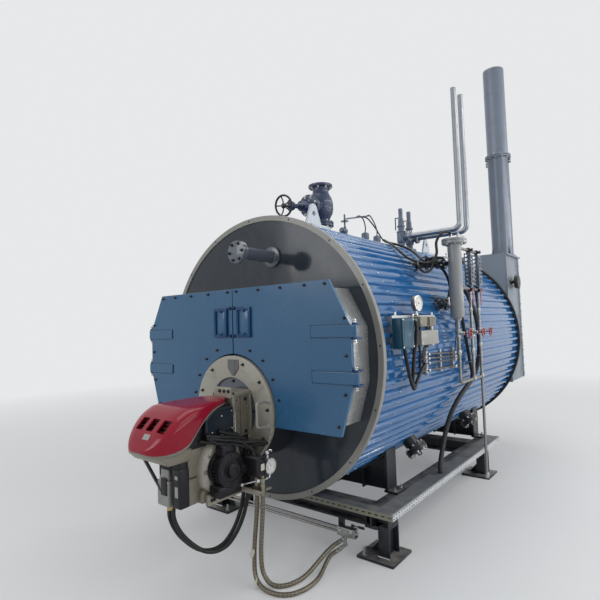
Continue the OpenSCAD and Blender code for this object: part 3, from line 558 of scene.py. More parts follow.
def lathe(profile, start, direction, sides=40, per_metre=1000):
    """A turned piece that stands on its start and points in a direction."""
    return aim(turned(profile, sides, per_metre=per_metre), start, direction)


def copy_of(obj):
    other = obj.copy()
    other.data = obj.data.copy()
    scene.collection.objects.link(other)
    return other


def mirrored(obj):
    """A copy on the other side of the boiler."""
    other = copy_of(obj)
    other.data.transform(Matrix.Scale(-1, 4, (1, 0, 0)))
    return outward(other)


def joined(*parts):
    parts = [p for p in parts if p]
    take(parts[0])
    for part in parts[1:]:
        part.select_set(True)
    if len(parts) > 1:
        bpy.ops.object.join()
    return bpy.context.object


def cut(obj, *tools, operation="DIFFERENCE"):
    """Takes the tools' shapes out of a piece, or with UNION adds them to it."""
    for tool in tools:
        take(obj)
        mod = obj.modifiers.new("cut", "BOOLEAN")
        mod.operation = operation
        mod.solver = "EXACT"
        mod.object = tool
        bpy.ops.object.modifier_apply(modifier=mod.name)
        bpy.data.objects.remove(tool)
    return obj


def slice_off(obj, point, normal):
    """Saws a piece along a plane and keeps the side behind it."""
    take(obj)
    bpy.ops.object.mode_set(mode="EDIT")
    bpy.ops.mesh.select_all(action="SELECT")
    bpy.ops.mesh.bisect(plane_co=point, plane_no=normal, use_fill=True, clear_outer=True)
    put_down()
    return obj


def ease(obj, width=0.002, segments=2, angle=40):
    """Breaks the sharp edges of a piece."""
    take(obj)
    mod = obj.modifiers.new("ease", "BEVEL")
    mod.width = width
    mod.segments = segments
    mod.limit_method = "ANGLE"
    mod.angle_limit = radians(angle)
    mod.use_clamp_overlap = True
    bpy.ops.object.modifier_apply(modifier=mod.name)
    return obj


def settle(obj, name, finish, body="frame", stands_for=(), angle=35):
    """Names a finished piece, gives it its finish and fixes it to its body."""
    if isinstance(obj, list):
        obj = joined(*obj)
    obj.name = name
    obj.data.name = name
    obj.data.materials.clear()
    obj.data.materials.append(finish)
    take(obj)
    bpy.ops.object.shade_smooth_by_angle(angle=radians(angle))
    put_down()
    if stands_for:
        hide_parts(*stands_for)
    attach(obj, body)
    return obj


def bent(points, radius):
    """A pipefitter's route: straight runs with a rounded bend at each corner."""
    steps, nearly_straight = 6, 88
    points = [Vector(p) for p in points]
    route = [points[0]]
    for a, b, c in zip(points, points[1:], points[2:]):
        u, v = (a - b).normalized(), (c - b).normalized()
        half = u.angle(v) / 2
        back = min(radius / tan(half), (a - b).length * 0.49, (c - b).length * 0.49)
        if degrees(half) > nearly_straight:
            route.append(b)
            continue
        p, q = b + u * back, b + v * back
        for i in range(steps + 1):
            t = i / steps
            route.append(p * (1 - t) ** 2 + b * (2 * t * (1 - t)) + q * t ** 2)
    return route + [points[-1]]


def eased(points, steps=5):
    """A loose cable's route: a smooth line through every point."""
    points = [Vector(p) for p in points]
    padded = [points[0] * 2 - points[1], *points, points[-1] * 2 - points[-2]]
    route = []
    for a, b, c, d in zip(padded, padded[1:], padded[2:], padded[3:]):
        for i in range(steps):
            t = i / steps
            route.append(0.5 * (b * 2 + (c - a) * t + (a * 2 - b * 5 + c * 4 - d) * t * t +
                (b * 3 - a - c * 3 + d) * t ** 3))
    return route + [points[-1]]


def tube(route, radius, sides=12):
    """A round tube or cable along a route, with its own map: u round it, v metres along it."""
    mesh = bmesh.new()
    sheet = mesh.loops.layers.uv.new("map")
    side = None
    rings, runs, length = [], [], 0.0
    for i, p in enumerate(route):
        ahead = (route[min(i + 1, len(route) - 1)] - route[max(i - 1, 0)]).normalized()
        if side is None:
            side = ahead.orthogonal().normalized()
        side = (side - ahead * side.dot(ahead)).normalized()
        other = ahead.cross(side)
        if i:
            length += (p - route[i - 1]).length
        runs.append(length)
        rings.append([mesh.verts.new(p + radius * (cos(2 * pi * k / sides) * side +
            sin(2 * pi * k / sides) * other)) for k in range(sides)])
    for i in range(len(rings) - 1):
        for k in range(sides):
            n = (k + 1) % sides
            face = mesh.faces.new((rings[i][k], rings[i][n], rings[i + 1][n], rings[i + 1][k]))
            for loop, (u, v) in zip(face.loops, ((k, i), (k + 1, i), (k + 1, i + 1), (k, i + 1))):
                loop[sheet].uv = (u / sides, runs[v])
    mesh.faces.new(list(reversed(rings[0])))
    mesh.faces.new(rings[-1])
    data = bpy.data.meshes.new("tube")
    mesh.to_mesh(data)
    mesh.free()
    obj = bpy.data.objects.new("tube", data)
    scene.collection.objects.link(obj)
    return obj, length


def pipe(points, radius, bend=0.03, sides=16):
    return tube(bent(points, bend), radius, sides)[0]


def cable(places, radius, sides=10):
    """A fixed lead through places measured from the front ring's face."""
    return tube(eased([at(*p) for p in places]), radius, sides)[0]


def hex_bolt(size=0.012, tall=0.008, washer=True):
    """One hexagon head on its washer, pointing up from z = 0."""
    put_down()
    bpy.ops.mesh.primitive_cylinder_add(vertices=6, radius=size, depth=tall,
        location=(0, 0, tall / 2 + size * 0.2))
    head = fix_place(bpy.context.object)
    choose(head, faces=lambda c, n: n.z > 0.9)
    bpy.ops.mesh.inset(thickness=size * 0.16)
    bpy.ops.transform.translate(value=(0, 0, size * 0.12))
    put_down()
    if washer:
        bpy.ops.mesh.primitive_cylinder_add(vertices=12, radius=size * 1.45, depth=size * 0.24,
            location=(0, 0, size * 0.12))
        plate = fix_place(bpy.context.object)
        head = joined(head, plate)
    return head


def stud(size=0.012, tall=0.016):
    """A stud end with its nut and washer, pointing up from z = 0."""
    nut = hex_bolt(size, size * 0.9)
    put_down()
    bpy.ops.mesh.primitive_cylinder_add(vertices=8, radius=size * 0.52, depth=tall,
        location=(0, 0, tall / 2 + size * 0.8))
    return joined(nut, fix_place(bpy.context.object))


def round_pin(size=0.008, tall=0.006):
    """A low domed screw head, pointing up from z = 0."""
    return turned([(size, 0.0), (size * 0.95, tall * 0.55), (size * 0.6, tall * 0.9),
        (size * 0.2, tall)], 10, per_metre=1)


def spread(one, places):
    """Copies one small piece to each (place, direction) and joins them."""
    copies = []
    for i, (place, direction) in enumerate(places):
        other = copy_of(one)
        other.data.transform(Matrix.Translation(place) @ towards(direction) @
            Matrix.Rotation(0.35 * i, 4, "Z"))
        copies.append(other)
    bpy.data.objects.remove(one)
    return joined(*copies)


def circle_of(centre, axis, radius, count, start=0.0):
    """Places round a bolt circle, each with the way its bolt points."""
    axis = Vector(axis).normalized()
    side = axis.orthogonal().normalized()
    other = axis.cross(side)
    return [(Vector(centre) + radius * (cos(t) * side + sin(t) * other), axis)
        for t in (radians(start) + 2 * pi * i / count for i in range(count))]


def weld(points, radius=0.005):
    """A laid weld bead along a line."""
    return tube(bent(points, 0.01), radius, 8)[0]


X, Y, Z = Vector((1, 0, 0)), Vector((0, 1, 0)), Vector((0, 0, 1))


# Hoses, conduits and the cable loom

def mm(points, shift=(0, 0, 0)):
    """Places given in millimetres from the front ring's face."""
    return [at(*((a + b) / 1000 for a, b in zip(p, shift))) for p in points]


def free_line(name, points, radius, finish, stands_for):
    """A hose or cable that hangs between its two ends."""
    route = eased(points, 4)
    obj, length = tube(route, radius, 14)
    settle(obj, name, finish, stands_for=(stands_for,), angle=60)
    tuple(points[0])
    return obj


HOSE_1 = mm([[335, -405, 640], [335, -405, 559.2], [332, -406, 478.5], [325, -408, 397.8],
    [316, -410, 317], [308, -412, 241], [306, -414, 165], [312, -420, 95],
    [335, -428, 48], [385, -436, 20], [450, -442, 15], [520, -428, 15], [575, -385, 15],
    [605, -320, 15], [615, -250, 15], [610, -170, 16], [592, -95, 22], [572, -20, 42],
    [560, 50, 62], [560, 109.9, 62]])
HOSE_2 = mm([[385, -405, 640], [385, -405, 559.2], [380, -404, 478.5], [371, -402, 397.8],
    [361, -400, 317], [353, -399, 241], [350, -398, 165], [356, -396, 100], [378, -392, 55],
    [415, -386, 26], [455, -368, 17], [490, -330, 15], [512, -275, 15], [522, -210, 16],
    [524, -140, 24], [530, -65, 48], [545, 5, 84], [560, 80, 112], [560, 139.9, 112]])
CONDUIT = [[35, -845, 560], [35, -845, 505.6], [42, -829, 448], [55, -798, 387.2], [70, -759, 336],
    [86, -716, 291.2], [104, -668, 256], [122, -620, 240], [140, -574, 241], [158, -528, 261.3],
    [174, -488, 303.9], [187, -455, 357.1], [197, -425, 424.6], [203, -403, 502.7],
    [205, -395, 559.5], [205, -395, 594.9]]
LOOM = mm([[920.1, 1790, 1944.2], [967.9, 1800, 1870], [1001.6, 1795, 1790.5],
    [1037.6, 1785, 1699.5], [1058.3, 1776, 1600], [1069.4, 1769, 1499.2], [1073, 1764, 1400],
    [1069.2, 1756, 1310.2], [1059, 1737, 1220.9], [1039.3, 1698, 1129.3], [1013, 1612, 1049.2],
    [985.1, 1510, 979.8], [951.8, 1444, 900.3], [918.1, 1400, 810.6], [888, 1370, 700],
    [870, 1335, 590], [861, 1292, 480], [857, 1264, 400], [857, 1264, 334.2]])


def paper_tag(name, middle, lean):
    """A bare paper label tied round a hose."""
    tag = block((-0.024, -0.0008, -0.03), (0.024, 0.0008, 0.03), 0.0006, 1)
    choose(tag, edges=lambda a, b: abs(a.z + b.z) < 0.002 and abs(a.z - b.z) > 0.02)
    bpy.ops.mesh.subdivide(number_cuts=6)
    put_down()
    for v in tag.data.vertices:
        v.co.y += 0.007 * sin(v.co.z * 60) + 0.003 * v.co.x / 0.024
    tag.matrix_world = Matrix.Translation(middle) @ swing(lean, "Z") @ swing(8, "Y")
    fix_place(tag)
    return settle(tag, name, PAPER)


tag_1 = paper_tag("tag_upper", at(0.302, -0.43, 0.196), -30)
tag_2 = paper_tag("tag_lower", at(0.34, -0.445, 0.04), -42)
free_line("oil_hose_front", HOSE_1, 0.014, BRAID, "oil_hose_1")
free_line("oil_hose_back", HOSE_2, 0.014, BRAID, "oil_hose_2")
free_line("conduit_left", mm(CONDUIT), 0.013, RUBBER, "conduit_1")
free_line("conduit_right", mm(CONDUIT, (34, 4, 0)), 0.013, RUBBER, "conduit_2")
free_line("shell_loom", LOOM, 0.02, LOOMSKIN, "cable_loom")


# Shell cladding, its end rings and their screws

def make_cladding():
    """Ribbed sheet wrapped round the shell, in one closed skin."""
    parts, rows = 14, 54
    valley, inner = 1.008, 0.985
    start, length = at(0, 0.04, AXIS), 3.306
    count = RIBS * parts
    put_down()
    bpy.ops.mesh.primitive_circle_add(vertices=count, radius=valley,
        location=(0, 0, 0), fill_type="NOTHING")
    obj = bpy.context.object
    obj.matrix_world = Matrix.Translation(start) @ swing(90, "X")
    fix_place(obj)
    # radius at each step round one rib; the steps left out lie in the valley
    lift = {7: 1.019, 8: 1.0293, 9: 1.03, 10: 1.03, 11: 1.03, 12: 1.0293, 13: 1.019}
    for level in sorted(set(lift.values())):
        take(obj)
        bpy.ops.object.mode_set(mode="EDIT")
        bpy.ops.mesh.select_mode(type="VERT")
        bpy.ops.mesh.select_all(action="DESELECT")
        mesh = bmesh.from_edit_mesh(obj.data)
        for v in mesh.verts:
            turn = atan2(v.co.z - AXIS, v.co.x) / (2 * pi) * count
            if lift.get(round(turn) % parts) == level:
                v.select_set(True)
        bmesh.update_edit_mesh(obj.data)
        k = level / valley
        bpy.ops.transform.resize(value=(k, 1, k), center_override=start)
        put_down()
    take(obj)
    bpy.ops.object.mode_set(mode="EDIT")
    bpy.ops.mesh.select_all(action="SELECT")
    for _ in range(rows):
        bpy.ops.mesh.extrude_region_move(TRANSFORM_OT_translate={"value": (0, length / rows, 0)})
    bpy.ops.mesh.select_all(action="DESELECT")
    bpy.ops.mesh.select_mode(type="EDGE")
    bpy.ops.mesh.select_non_manifold()
    bpy.ops.mesh.extrude_region_move(TRANSFORM_OT_translate={"value": (0, 0, 0)})
    bpy.ops.transform.resize(value=(inner, 1, inner), center_override=at(0, 1.7, AXIS))
    bpy.ops.mesh.bridge_edge_loops()
    put_down()
    # slight wander of the sheet between its screws
    for v in obj.data.vertices:
        a = atan2(v.co.z - AXIS, v.co.x)
        k = 1 - 0.0007 * (1 + sin(5 * a + 3.1 * v.co.y) * cos(23 * a - 2.3 * v.co.y))
        k -= 0.0002 * (1 + sin(31 * a + 7.3 * v.co.y) * sin(11 * a - 10.1 * v.co.y))
        v.co.x *= k
        v.co.z = AXIS + (v.co.z - AXIS) * k
    outward(obj)
    return settle(obj, "shell_cladding", CLAD, stands_for=("shell",), angle=60)


def end_ring(name, y, node, finish):
    """A rolled flat ring round the end of the shell, its lips eased."""
    ring = turned([(1010, 2), (1012, 0), (1047, 0), (1050, 3), (1050, 37), (1047, 40), (1012, 40),
        (1010, 38), (1010, 2)], 192, ring=True)
    aim(ring, at(0, y, AXIS), Y)
    return settle(ring, name, finish, stands_for=(node,), angle=30)


make_cladding()
end_ring("front_rim", 0.0, "front_ring", RING)
end_ring("rear_rim", 3.346, "rear_ring", BLACK)
settle(spread(round_pin(0.0065, 0.004), circle_of(at(0, 0, AXIS), -Y, 1.031, 16, 4)),
    "front_rim_screws", BLACK)
settle(spread(round_pin(0.0055, 0.004), [(at(1.0305 * cos(t), y, AXIS + 1.0305 * sin(t)),
    Vector((cos(t), 0, sin(t)))) for y in (0.3, 1.06, 1.93, 2.8, 3.25)
    for t in (2 * pi * (i + 0.71) / RIBS for i in range(RIBS))]), "cladding_screws", BRIGHT)


# Smokebox doors

def slot_frame(lo, hi, bar, soft=0.003):
    """A rectangular frame of flat bar lying on the door."""
    bars = block(lo, hi, 0)
    cut(bars, block(lo + Vector((bar, -0.01, bar)), hi + Vector((-bar, 0.01, -bar)), 0))
    return ease(bars, soft) if soft else bars


DOOR_STUDS = [(0.045, 1.866), (0.256, 1.863), (0.456, 1.863), (0.655, 1.864), (0.812, 1.862),
    (0.944, 1.648), (0.95, 1.427), (0.936, 1.2), (0.88, 1.01), (0.167, 1.45), (0.286, 1.384),
    (0.37, 1.262), (0.42, 1.131), (0.03, 1.75), (0.03, 1.552)]


def make_doors():
    leaf = slab((0.004, -0.265, 0.95), (0.985, -0.235, 1.887), 0)
    slice_off(leaf, at(0.835, -0.25, 1.887), (0.282, 0, 0.15))
    slice_off(leaf, at(0.985, -0.25, 1.25), (0.3, 0, -0.093))
    hole = turned([(385, 0), (385, 200)], 128)
    cut(leaf, aim(hole, at(0, -0.35, BURNER), Y))
    ease(leaf, 0.003, 2)
    for z in (1.571, 1.296):
        cut(leaf, slot_frame(at(0.693, -0.27, z - 0.041), at(1.02, -0.26, z + 0.041), 0.006, 0))
    straps = []
    for z in (1.571, 1.296):
        straps.append(slab((0.7, -0.273, z - 0.035), (0.99, -0.262, z + 0.035), 0.0025))
        straps.append(slab((0.975, -0.2735, z - 0.035), (1.008, -0.2345, z + 0.035), 0.004))
        knuckle = turned([(14, 0), (18, 3), (18, 67), (14, 70)], 32)
        straps.append(aim(knuckle, at(1.005, -0.25, z - 0.035), Z))
    leaf = joined(leaf, *straps)
    pulls = [slot_frame(at(0.048, -0.281, 1.543), at(0.186, -0.264, 1.752), 0.021)]
    pulls.append(slab((0.103, -0.2845, 1.724), (0.131, -0.28, 1.74), 0.001))
    pulls.append(slab((0.103, -0.2845, 1.555), (0.131, -0.28, 1.571), 0.001))
    pull = joined(*pulls)
    panel = slab((0.068, -0.27, 1.563), (0.162, -0.264, 1.732), 0.002)
    studs = spread(stud(0.0075, 0.013), [(at(x, -0.265, z), -Y) for x, z in DOOR_STUDS])
    latches = []
    for z in (1.75, 1.552):
        latches.append(lathe([(13, 0), (13, 6), (9, 12), (6, 20)], at(0.018, -0.265, z), -Y, 20))
    latch = joined(*latches)
    for side, body in (("right", "right_door"), ("left", "left_door")):
        make = copy_of if side == "right" else mirrored
        settle(make(leaf), side + "_door_leaf", DOOR, body, (side + "_door",), 20)
        settle(make(pull), side + "_door_pull", DOOR_DEEP, body)
        settle(make(panel), side + "_door_pull_panel", DOOR, body)
        settle(make(studs), side + "_door_studs", BLACK, body)
        settle(make(latch), side + "_door_latch", DOOR_DEEP, body)
    for part in (leaf, pull, panel, studs, latch):
        bpy.data.objects.remove(part)


make_doors()


# Blind nozzle on the front plate

def make_nozzle():
    body = turned([(73, 0), (75, 2), (75, 16), (68, 18), (50, 20), (44, 30), (44, 320), (50, 330),
        (76, 332), (78, 334), (78, 352), (76, 354), (62, 354.2), (62, 356.2), (76, 356.4),
        (78, 358), (78, 376.5), (75, 378)], 56)
    aim(body, at(0.156, 0.01, 2.125), -Y)
    settle(body, "blind_nozzle_body", NOZZLE, stands_for=("blind_nozzle",))
    out = at(0.156, -0.368, 2.125)
    studs = spread(stud(0.0085, 0.012), circle_of(out, -Y, 0.061, 6, 20))
    back = spread(stud(0.0085, 0.01), circle_of(at(0.156, -0.322, 2.125), Y, 0.061, 6, 20))
    settle(joined(studs, back), "blind_nozzle_studs", BLACK)


make_nozzle()


# Burner

def make_burner_ring():
    ring = turned([(221.5, 3), (223.5, 0), (366, 0), (373, 2), (375, 6), (375, 35), (221.5, 35),
        (221.5, 3)], 128, ring=True)
    aim(ring, at(0, -0.285, BURNER), Y)
    settle(ring, "burner_flange", COLLAR, stands_for=("burner_ring",))
    angles = (4, 37, 70, 127, 160, 195, 228, 262, 298, 330)
    places = [(at(0.335 * cos(radians(a)), -0.285, BURNER + 0.335 *
        sin(radians(a))), -Y) for a in angles]
    settle(spread(stud(0.0085, 0.014), places), "burner_flange_studs", BLACK)
    disc = turned([(219.7, 20), (219.7, 3), (216, 0), (120, 0), (118, 4)], 96)
    aim(disc, at(0, -0.27, BURNER), Y)
    settle(disc, "burner_cover_disc", NOZZLE, stands_for=("burner_plate",))
    settle(spread(hex_bolt(0.009, 0.008), circle_of(at(0, -0.27, BURNER), -Y, 0.197, 8, 0)),
        "cover_disc_bolts", BLACK)
    shield = slab((-0.034, -0.291, 1.276), (0.072, -0.284, 1.388), 0)
    slice_off(shield, at(0.072, -0.287, 1.325), (0.75, 0, -0.66))
    slice_off(shield, at(-0.034, -0.287, 1.325), (-0.75, 0, -0.66))
    ease(shield, 0.002)
    set_in(shield, lambda c, n: n.y < -0.9, (0.005, -0.0015))
    ridge = slab((0.03, -0.2925, 1.284), (0.038, -0.2885, 1.386), 0.0015)
    settle(joined(shield, ridge), "bare_shield", TRAY)
    grip = pipe([at(0.338, -0.285, 1.12), at(0.346, -0.4, 1.126), at(0.346, -0.4, 0.972),
        at(0.336, -0.285, 0.957)], 0.0085, 0.02, 12)
    feet = [lathe([(17, 0), (17, 6), (11, 10)], at(x, -0.285, z), -Y, 20)
        for x, z in ((0.338, 1.12), (0.336, 0.957))]
    settle(joined(grip, *feet), "burner_grab_handle", GREYBOX)


def make_burner_body():
    body = slab((-0.175, -0.45, 0.865), (0.175, -0.27, 1.192), 0.02, 4)
    cut(body, slab((-0.3, -0.6, 1.085), (0.012, -0.2, 1.3), 0.016, 3))
    set_in(body, lambda c, n: abs(n.x) > 0.99, (0.004, 0.0), (0.012, 0.0), (0.004, -0.014))
    ribs = []
    for s in (1, -1):
        ribs.append(slab((s * 0.158, -0.366, 0.892), (s * 0.17, -0.354,
            1.08 if s < 0 else 1.168), 0.003))
        ribs.append(slab((s * 0.158, -0.425, 1.072), (s * 0.168, -0.295, 1.082), 0.003))
        ribs.append(slab((s * 0.158, -0.425, 0.985), (s * 0.166, -0.295, 0.993), 0.003))
    flange = slab((0.014, -0.468, 1.15), (0.173, -0.44, 1.222), 0.01, 4)
    settle(joined(body, *ribs), "burner_casting", CAST, stands_for=("burner_body",))
    # The cream strips along the edges of the casting's near side are painted highlight: a lighter
    # colour standing in for light on the casting's rounded rim. The flange joined to them takes the
    # same cream.
    rim = [slab((0.172, -0.449, z), (0.1785, -0.271, z + 0.02), 0.003, 3) for z in (0.867, 1.17)]
    rim += [slab((0.172, y, 0.867), (0.1785, y + 0.02, 1.19), 0.003, 3) for y in (-0.449, -0.291)]
    settle(joined(flange, *rim), "burner_casting_rim_painted_highlight", CREAM)
    bolts = [(at(0.161, -0.318, 1.13), X), (at(0.161, -0.318, 0.918), X),
        (at(0.161, -0.41, 0.918), X), (at(0.161, -0.41, 1.13), X)]
    bolts += [(at(-0.171, y, z), -X) for y, z in ((-0.318, 1.05), (-0.318, 0.918),
        (-0.41, 0.918), (-0.41, 1.05))]
    bolts += [(at(x, -0.468, 1.198), -Y) for x in (0.078, 0.119, 0.16)]
    settle(spread(hex_bolt(0.009, 0.007), bolts), "burner_casting_bolts", BLACK)


def make_hood():
    """Red air hood: sections drawn forward from the burner's throat to a blunt nose."""
    sections = [(-0.44, 0.058, 0.067, 1.125, 1.166), (-0.54, 0.05, 0.134, 1.13, 1.162),
        (-0.64, 0.034, 0.172, 1.108, 1.157), (-0.7, 0.018, 0.197, 1.066, 1.153),
        (-0.76, 0.006, 0.212, 1.003, 1.15), (-0.8, 0.0, 0.219, 0.952, 1.147),
        (-0.816, 0.0, 0.219, 0.934, 1.142), (-0.835, 0.0, 0.219, 0.918, 1.134),
        (-0.88, 0.002, 0.214, 0.898, 1.112), (-0.925, 0.008, 0.201, 0.895, 1.08),
        (-0.965, 0.013, 0.182, 0.895, 1.042), (-0.995, 0.016, 0.16, 0.898, 1.008),
        (-1.02, 0.016, 0.132, 0.903, 0.974), (-1.04, 0.012, 0.096, 0.91, 0.944),
        (-1.0495, 0.008, 0.054, 0.918, 0.932)]
    put_down()
    sides = 40
    bpy.ops.mesh.primitive_circle_add(vertices=sides, radius=1.0, fill_type="NGON",
        location=(0, 0, 0), rotation=(radians(90), 0, 0))
    obj = fix_place(bpy.context.object)
    # push the circle out to an arch: square below, well rounded above
    for v in obj.data.vertices:
        a = atan2(v.co.z, v.co.x)
        c, s = cos(a), sin(a)
        v.co.x = copysign(abs(c) ** (0.42 if v.co.z > 0 else 0.25), c)
        v.co.z = copysign(abs(s) ** (0.5 if v.co.z > 0 else 0.25), s)
    y, mid, w, lo, hi = sections[0]
    obj.matrix_world = Matrix.Translation(at(mid, y, (lo + hi) /
        2)) @ Matrix.Diagonal((w, 1, (hi - lo) / 2, 1))
    fix_place(obj)
    take(obj)
    bpy.ops.object.mode_set(mode="EDIT")
    bpy.ops.mesh.select_all(action="SELECT")
    for y2, mid2, w2, lo2, hi2 in sections[1:]:
        bpy.ops.mesh.extrude_region_move(TRANSFORM_OT_translate={"value": (mid2 - mid, y2 - y,
            (lo2 + hi2 - lo - hi) / 2)})
        bpy.ops.transform.resize(value=(w2 / w, 1, (hi2 - lo2) / (hi - lo)),
            center_override=at(mid2, y2, (lo2 + hi2) / 2))
        y, mid, w, lo, hi = y2, mid2, w2, lo2, hi2
    put_down()
    outward(obj)
    mod = obj.modifiers.new("round", "SUBSURF")
    mod.levels = mod.render_levels = 2
    take(obj)
    bpy.ops.object.modifier_apply(modifier="round")
    return obj


LOUVRES = (-0.073, 0.028, 0.134)


def louvre_place(x):
    """Where a louvre's opening lies in the hood's sloping face."""
    return Matrix.Translation(at(x, -0.9465, 1.0605)) @ swing(-45, "X")


def dress_hood():
    hood = make_hood()
    lip = copy_of(hood)
    for v in lip.data.vertices:
        v.co.z -= 0.013
    lip = outward(lip)
    for v in lip.data.vertices:
        v.co.x *= 0.988
        v.co.y = at(0, -0.7, 0).y + (v.co.y - at(0, -0.7, 0).y) * 0.992
    for target in (hood, lip):
        tools = []
        for x in LOUVRES:
            tool = block((-0.033, -0.06, -0.043), (0.033, 0.06, 0.043), 0.006, 2)
            tool.matrix_world = louvre_place(x)
            tools.append(fix_place(tool))
        cut(target, *tools)
    settle(lip, "hood_lip", LIP, angle=40)
    settle(hood, "burner_hood_shell", HOOD, stands_for=("burner_hood",), angle=32)
    slats, screens = [], []
    for x in LOUVRES:
        for k in (-0.022, 0.004, 0.03):
            slat = block((-0.033, -0.012, -0.0014), (0.033, 0.018, 0.0014), 0.001, 1)
            slat.matrix_world = (Matrix.Translation(at(x, -0.9265, 1.0405)) @ swing(-45, "X") @
                Matrix.Translation((0, 0, k)) @ swing(30, "X"))
            slats.append(fix_place(slat))
        screen = block((-0.033, 0.034, -0.043), (0.033, 0.058, 0.043), 0.002, 1)
        screen.matrix_world = louvre_place(x)
        screens.append(fix_place(screen))
    settle(slats, "hood_slats", HOOD)
    settle(screens, "hood_screens", PLASTIC)
    badge = block((-0.03, -0.0015, -0.017), (0.03, 0.0015, 0.017), 0.001, 1)
    badge.matrix_world = Matrix.Translation(at(0.046, -1.0015, 1.0015)) @ swing(-36, "X")
    ease(fix_place(badge), 0.0006)
    settle(badge, "bare_badge", GREYBOX)


def joint_cut(obj, drop=0.0):
    """Saws a piece under the hood along the hood's stepped lower edge."""
    for (y, z), normal in (((-0.45, 1.128), (0, 0, 1)), ((-0.64, 1.118), (0, -0.6, 0.8)),
            ((-0.72, 1.058), (0, -0.78, 0.625))):
        slice_off(obj, at(0, y, z - drop), normal)
    return obj


def make_head():
    head = joint_cut(slab((-0.16, -0.835, 0.89), (0.16, -0.448, 1.175), 0), 0.004)
    slice_off(head, at(-0.05, -0.448, 1.0), (-0.55, 0.835, 0))
    ease(head, 0.008, 3)
    settle(head, "burner_head_box", PLASTIC, stands_for=("burner_head",))
    cover = joint_cut(slab((0.156, -0.69, 0.952), (0.196, -0.458, 1.15), 0), 0.022)
    ease(cover, 0.01, 3)
    set_in(cover, lambda c, n: n.x > 0.99, (0.01, -0.003))
    settle(cover, "servo_cover", HEAD)
    far = joint_cut(slab((-0.196, -0.69, 0.935), (-0.156, -0.5, 1.08), 0), 0.022)
    settle(ease(far, 0.01, 3), "servo_cover_far", PLASTIC)
    screws = [(at(0.194, -0.475, 0.97), X), (at(0.194, -0.475, 1.08), X),
        (at(0.194, -0.64, 0.97), X), (at(0.194, -0.56, 1.06), X)]
    settle(spread(round_pin(0.006, 0.005), screws), "servo_cover_screws", STEEL)
    link = pipe([at(0.2, -0.452, 1.06), at(0.2, -0.452, 0.945)], 0.0032, 0.01, 10)
    ends = [slab((0.194, -0.459, z - 0.007), (0.207, -0.445, z + 0.007), 0.003)
        for z in (1.06, 0.945)]
    settle(joined(link, *ends), "servo_link", BRIGHT)


def make_fan():
    drum = turned([(170, 0), (192, 4), (200, 16), (200, 262), (198.5, 284), (192, 304), (180, 319),
        (164, 328), (147, 331), (131, 327), (120, 316), (115, 298), (60, 290)], 96)
    aim(drum, at(-0.13, -0.55, 0.745), X)
    for v in drum.data.vertices:
        v.co.y = at(0, -0.55, 0).y + (v.co.y - at(0, -0.55, 0).y) * 0.86
    lower = slab((-0.13, -0.805, 0.56), (0.15, -0.69, 0.7185), 0.016, 3)
    upper = slab((-0.13, -0.805, 0.7215), (0.15, -0.64, 0.905), 0.016, 3)
    shoulder = slab((-0.09, -0.715, 0.85), (0.14, -0.56, 0.962), 0.035, 5)
    slice_off(shoulder, at(0, -0.6, 0.958), (0, 0.62, 0.78))
    belly = slab((-0.08, -0.72, 0.556), (0.185, -0.458, 0.64), 0.022, 4)
    duct = slab((-0.175, -0.985, 0.835), (0.178, -0.78, 0.912), 0)
    slice_off(duct, at(0, -0.985, 0.88), (0, -0.72, -0.69))
    ease(duct, 0.012, 3)
    settle(drum, "fan_volute", VOLUTE, stands_for=("fan_housing",), angle=32)
    settle(joined(lower, upper, shoulder, belly), "fan_air_box", CAST)
    settle(duct, "hood_duct", CAST)
    seam = circle_of(at(0.1995, -0.56, 0.745), X, 0.14, 9, 95)
    settle(spread(hex_bolt(0.008, 0.007), seam), "volute_bolts", STEEL)
    web = slab((0.188, -0.7, 0.548), (0.214, -0.42, 0.612), 0.005)
    slice_off(web, at(0.2, -0.42, 0.548), (0, 0.5, -0.6))
    shelf = slab((0.2, -0.448, 0.584), (0.392, -0.33, 0.592), 0.002)
    rim = slab((0.2, -0.452, 0.572), (0.392, -0.444, 0.604), 0.002)
    settle(joined(web, shelf, rim), "motor_bracket", CREAM)
    settle(spread(hex_bolt(0.008, 0.007), [(at(0.214, y, 0.578), X)
        for y in (-0.67, -0.65, -0.5, -0.46)]), "bracket_bolts", BLACK)
    box = slab((-0.035, -0.868, 0.735), (0.168, -0.8, 0.872), 0.012, 3)
    lid = slab((0.015, -0.885, 0.8), (0.095, -0.862, 0.85), 0.008)
    settle(joined(box, lid), "air_linkage_box", PLASTIC)


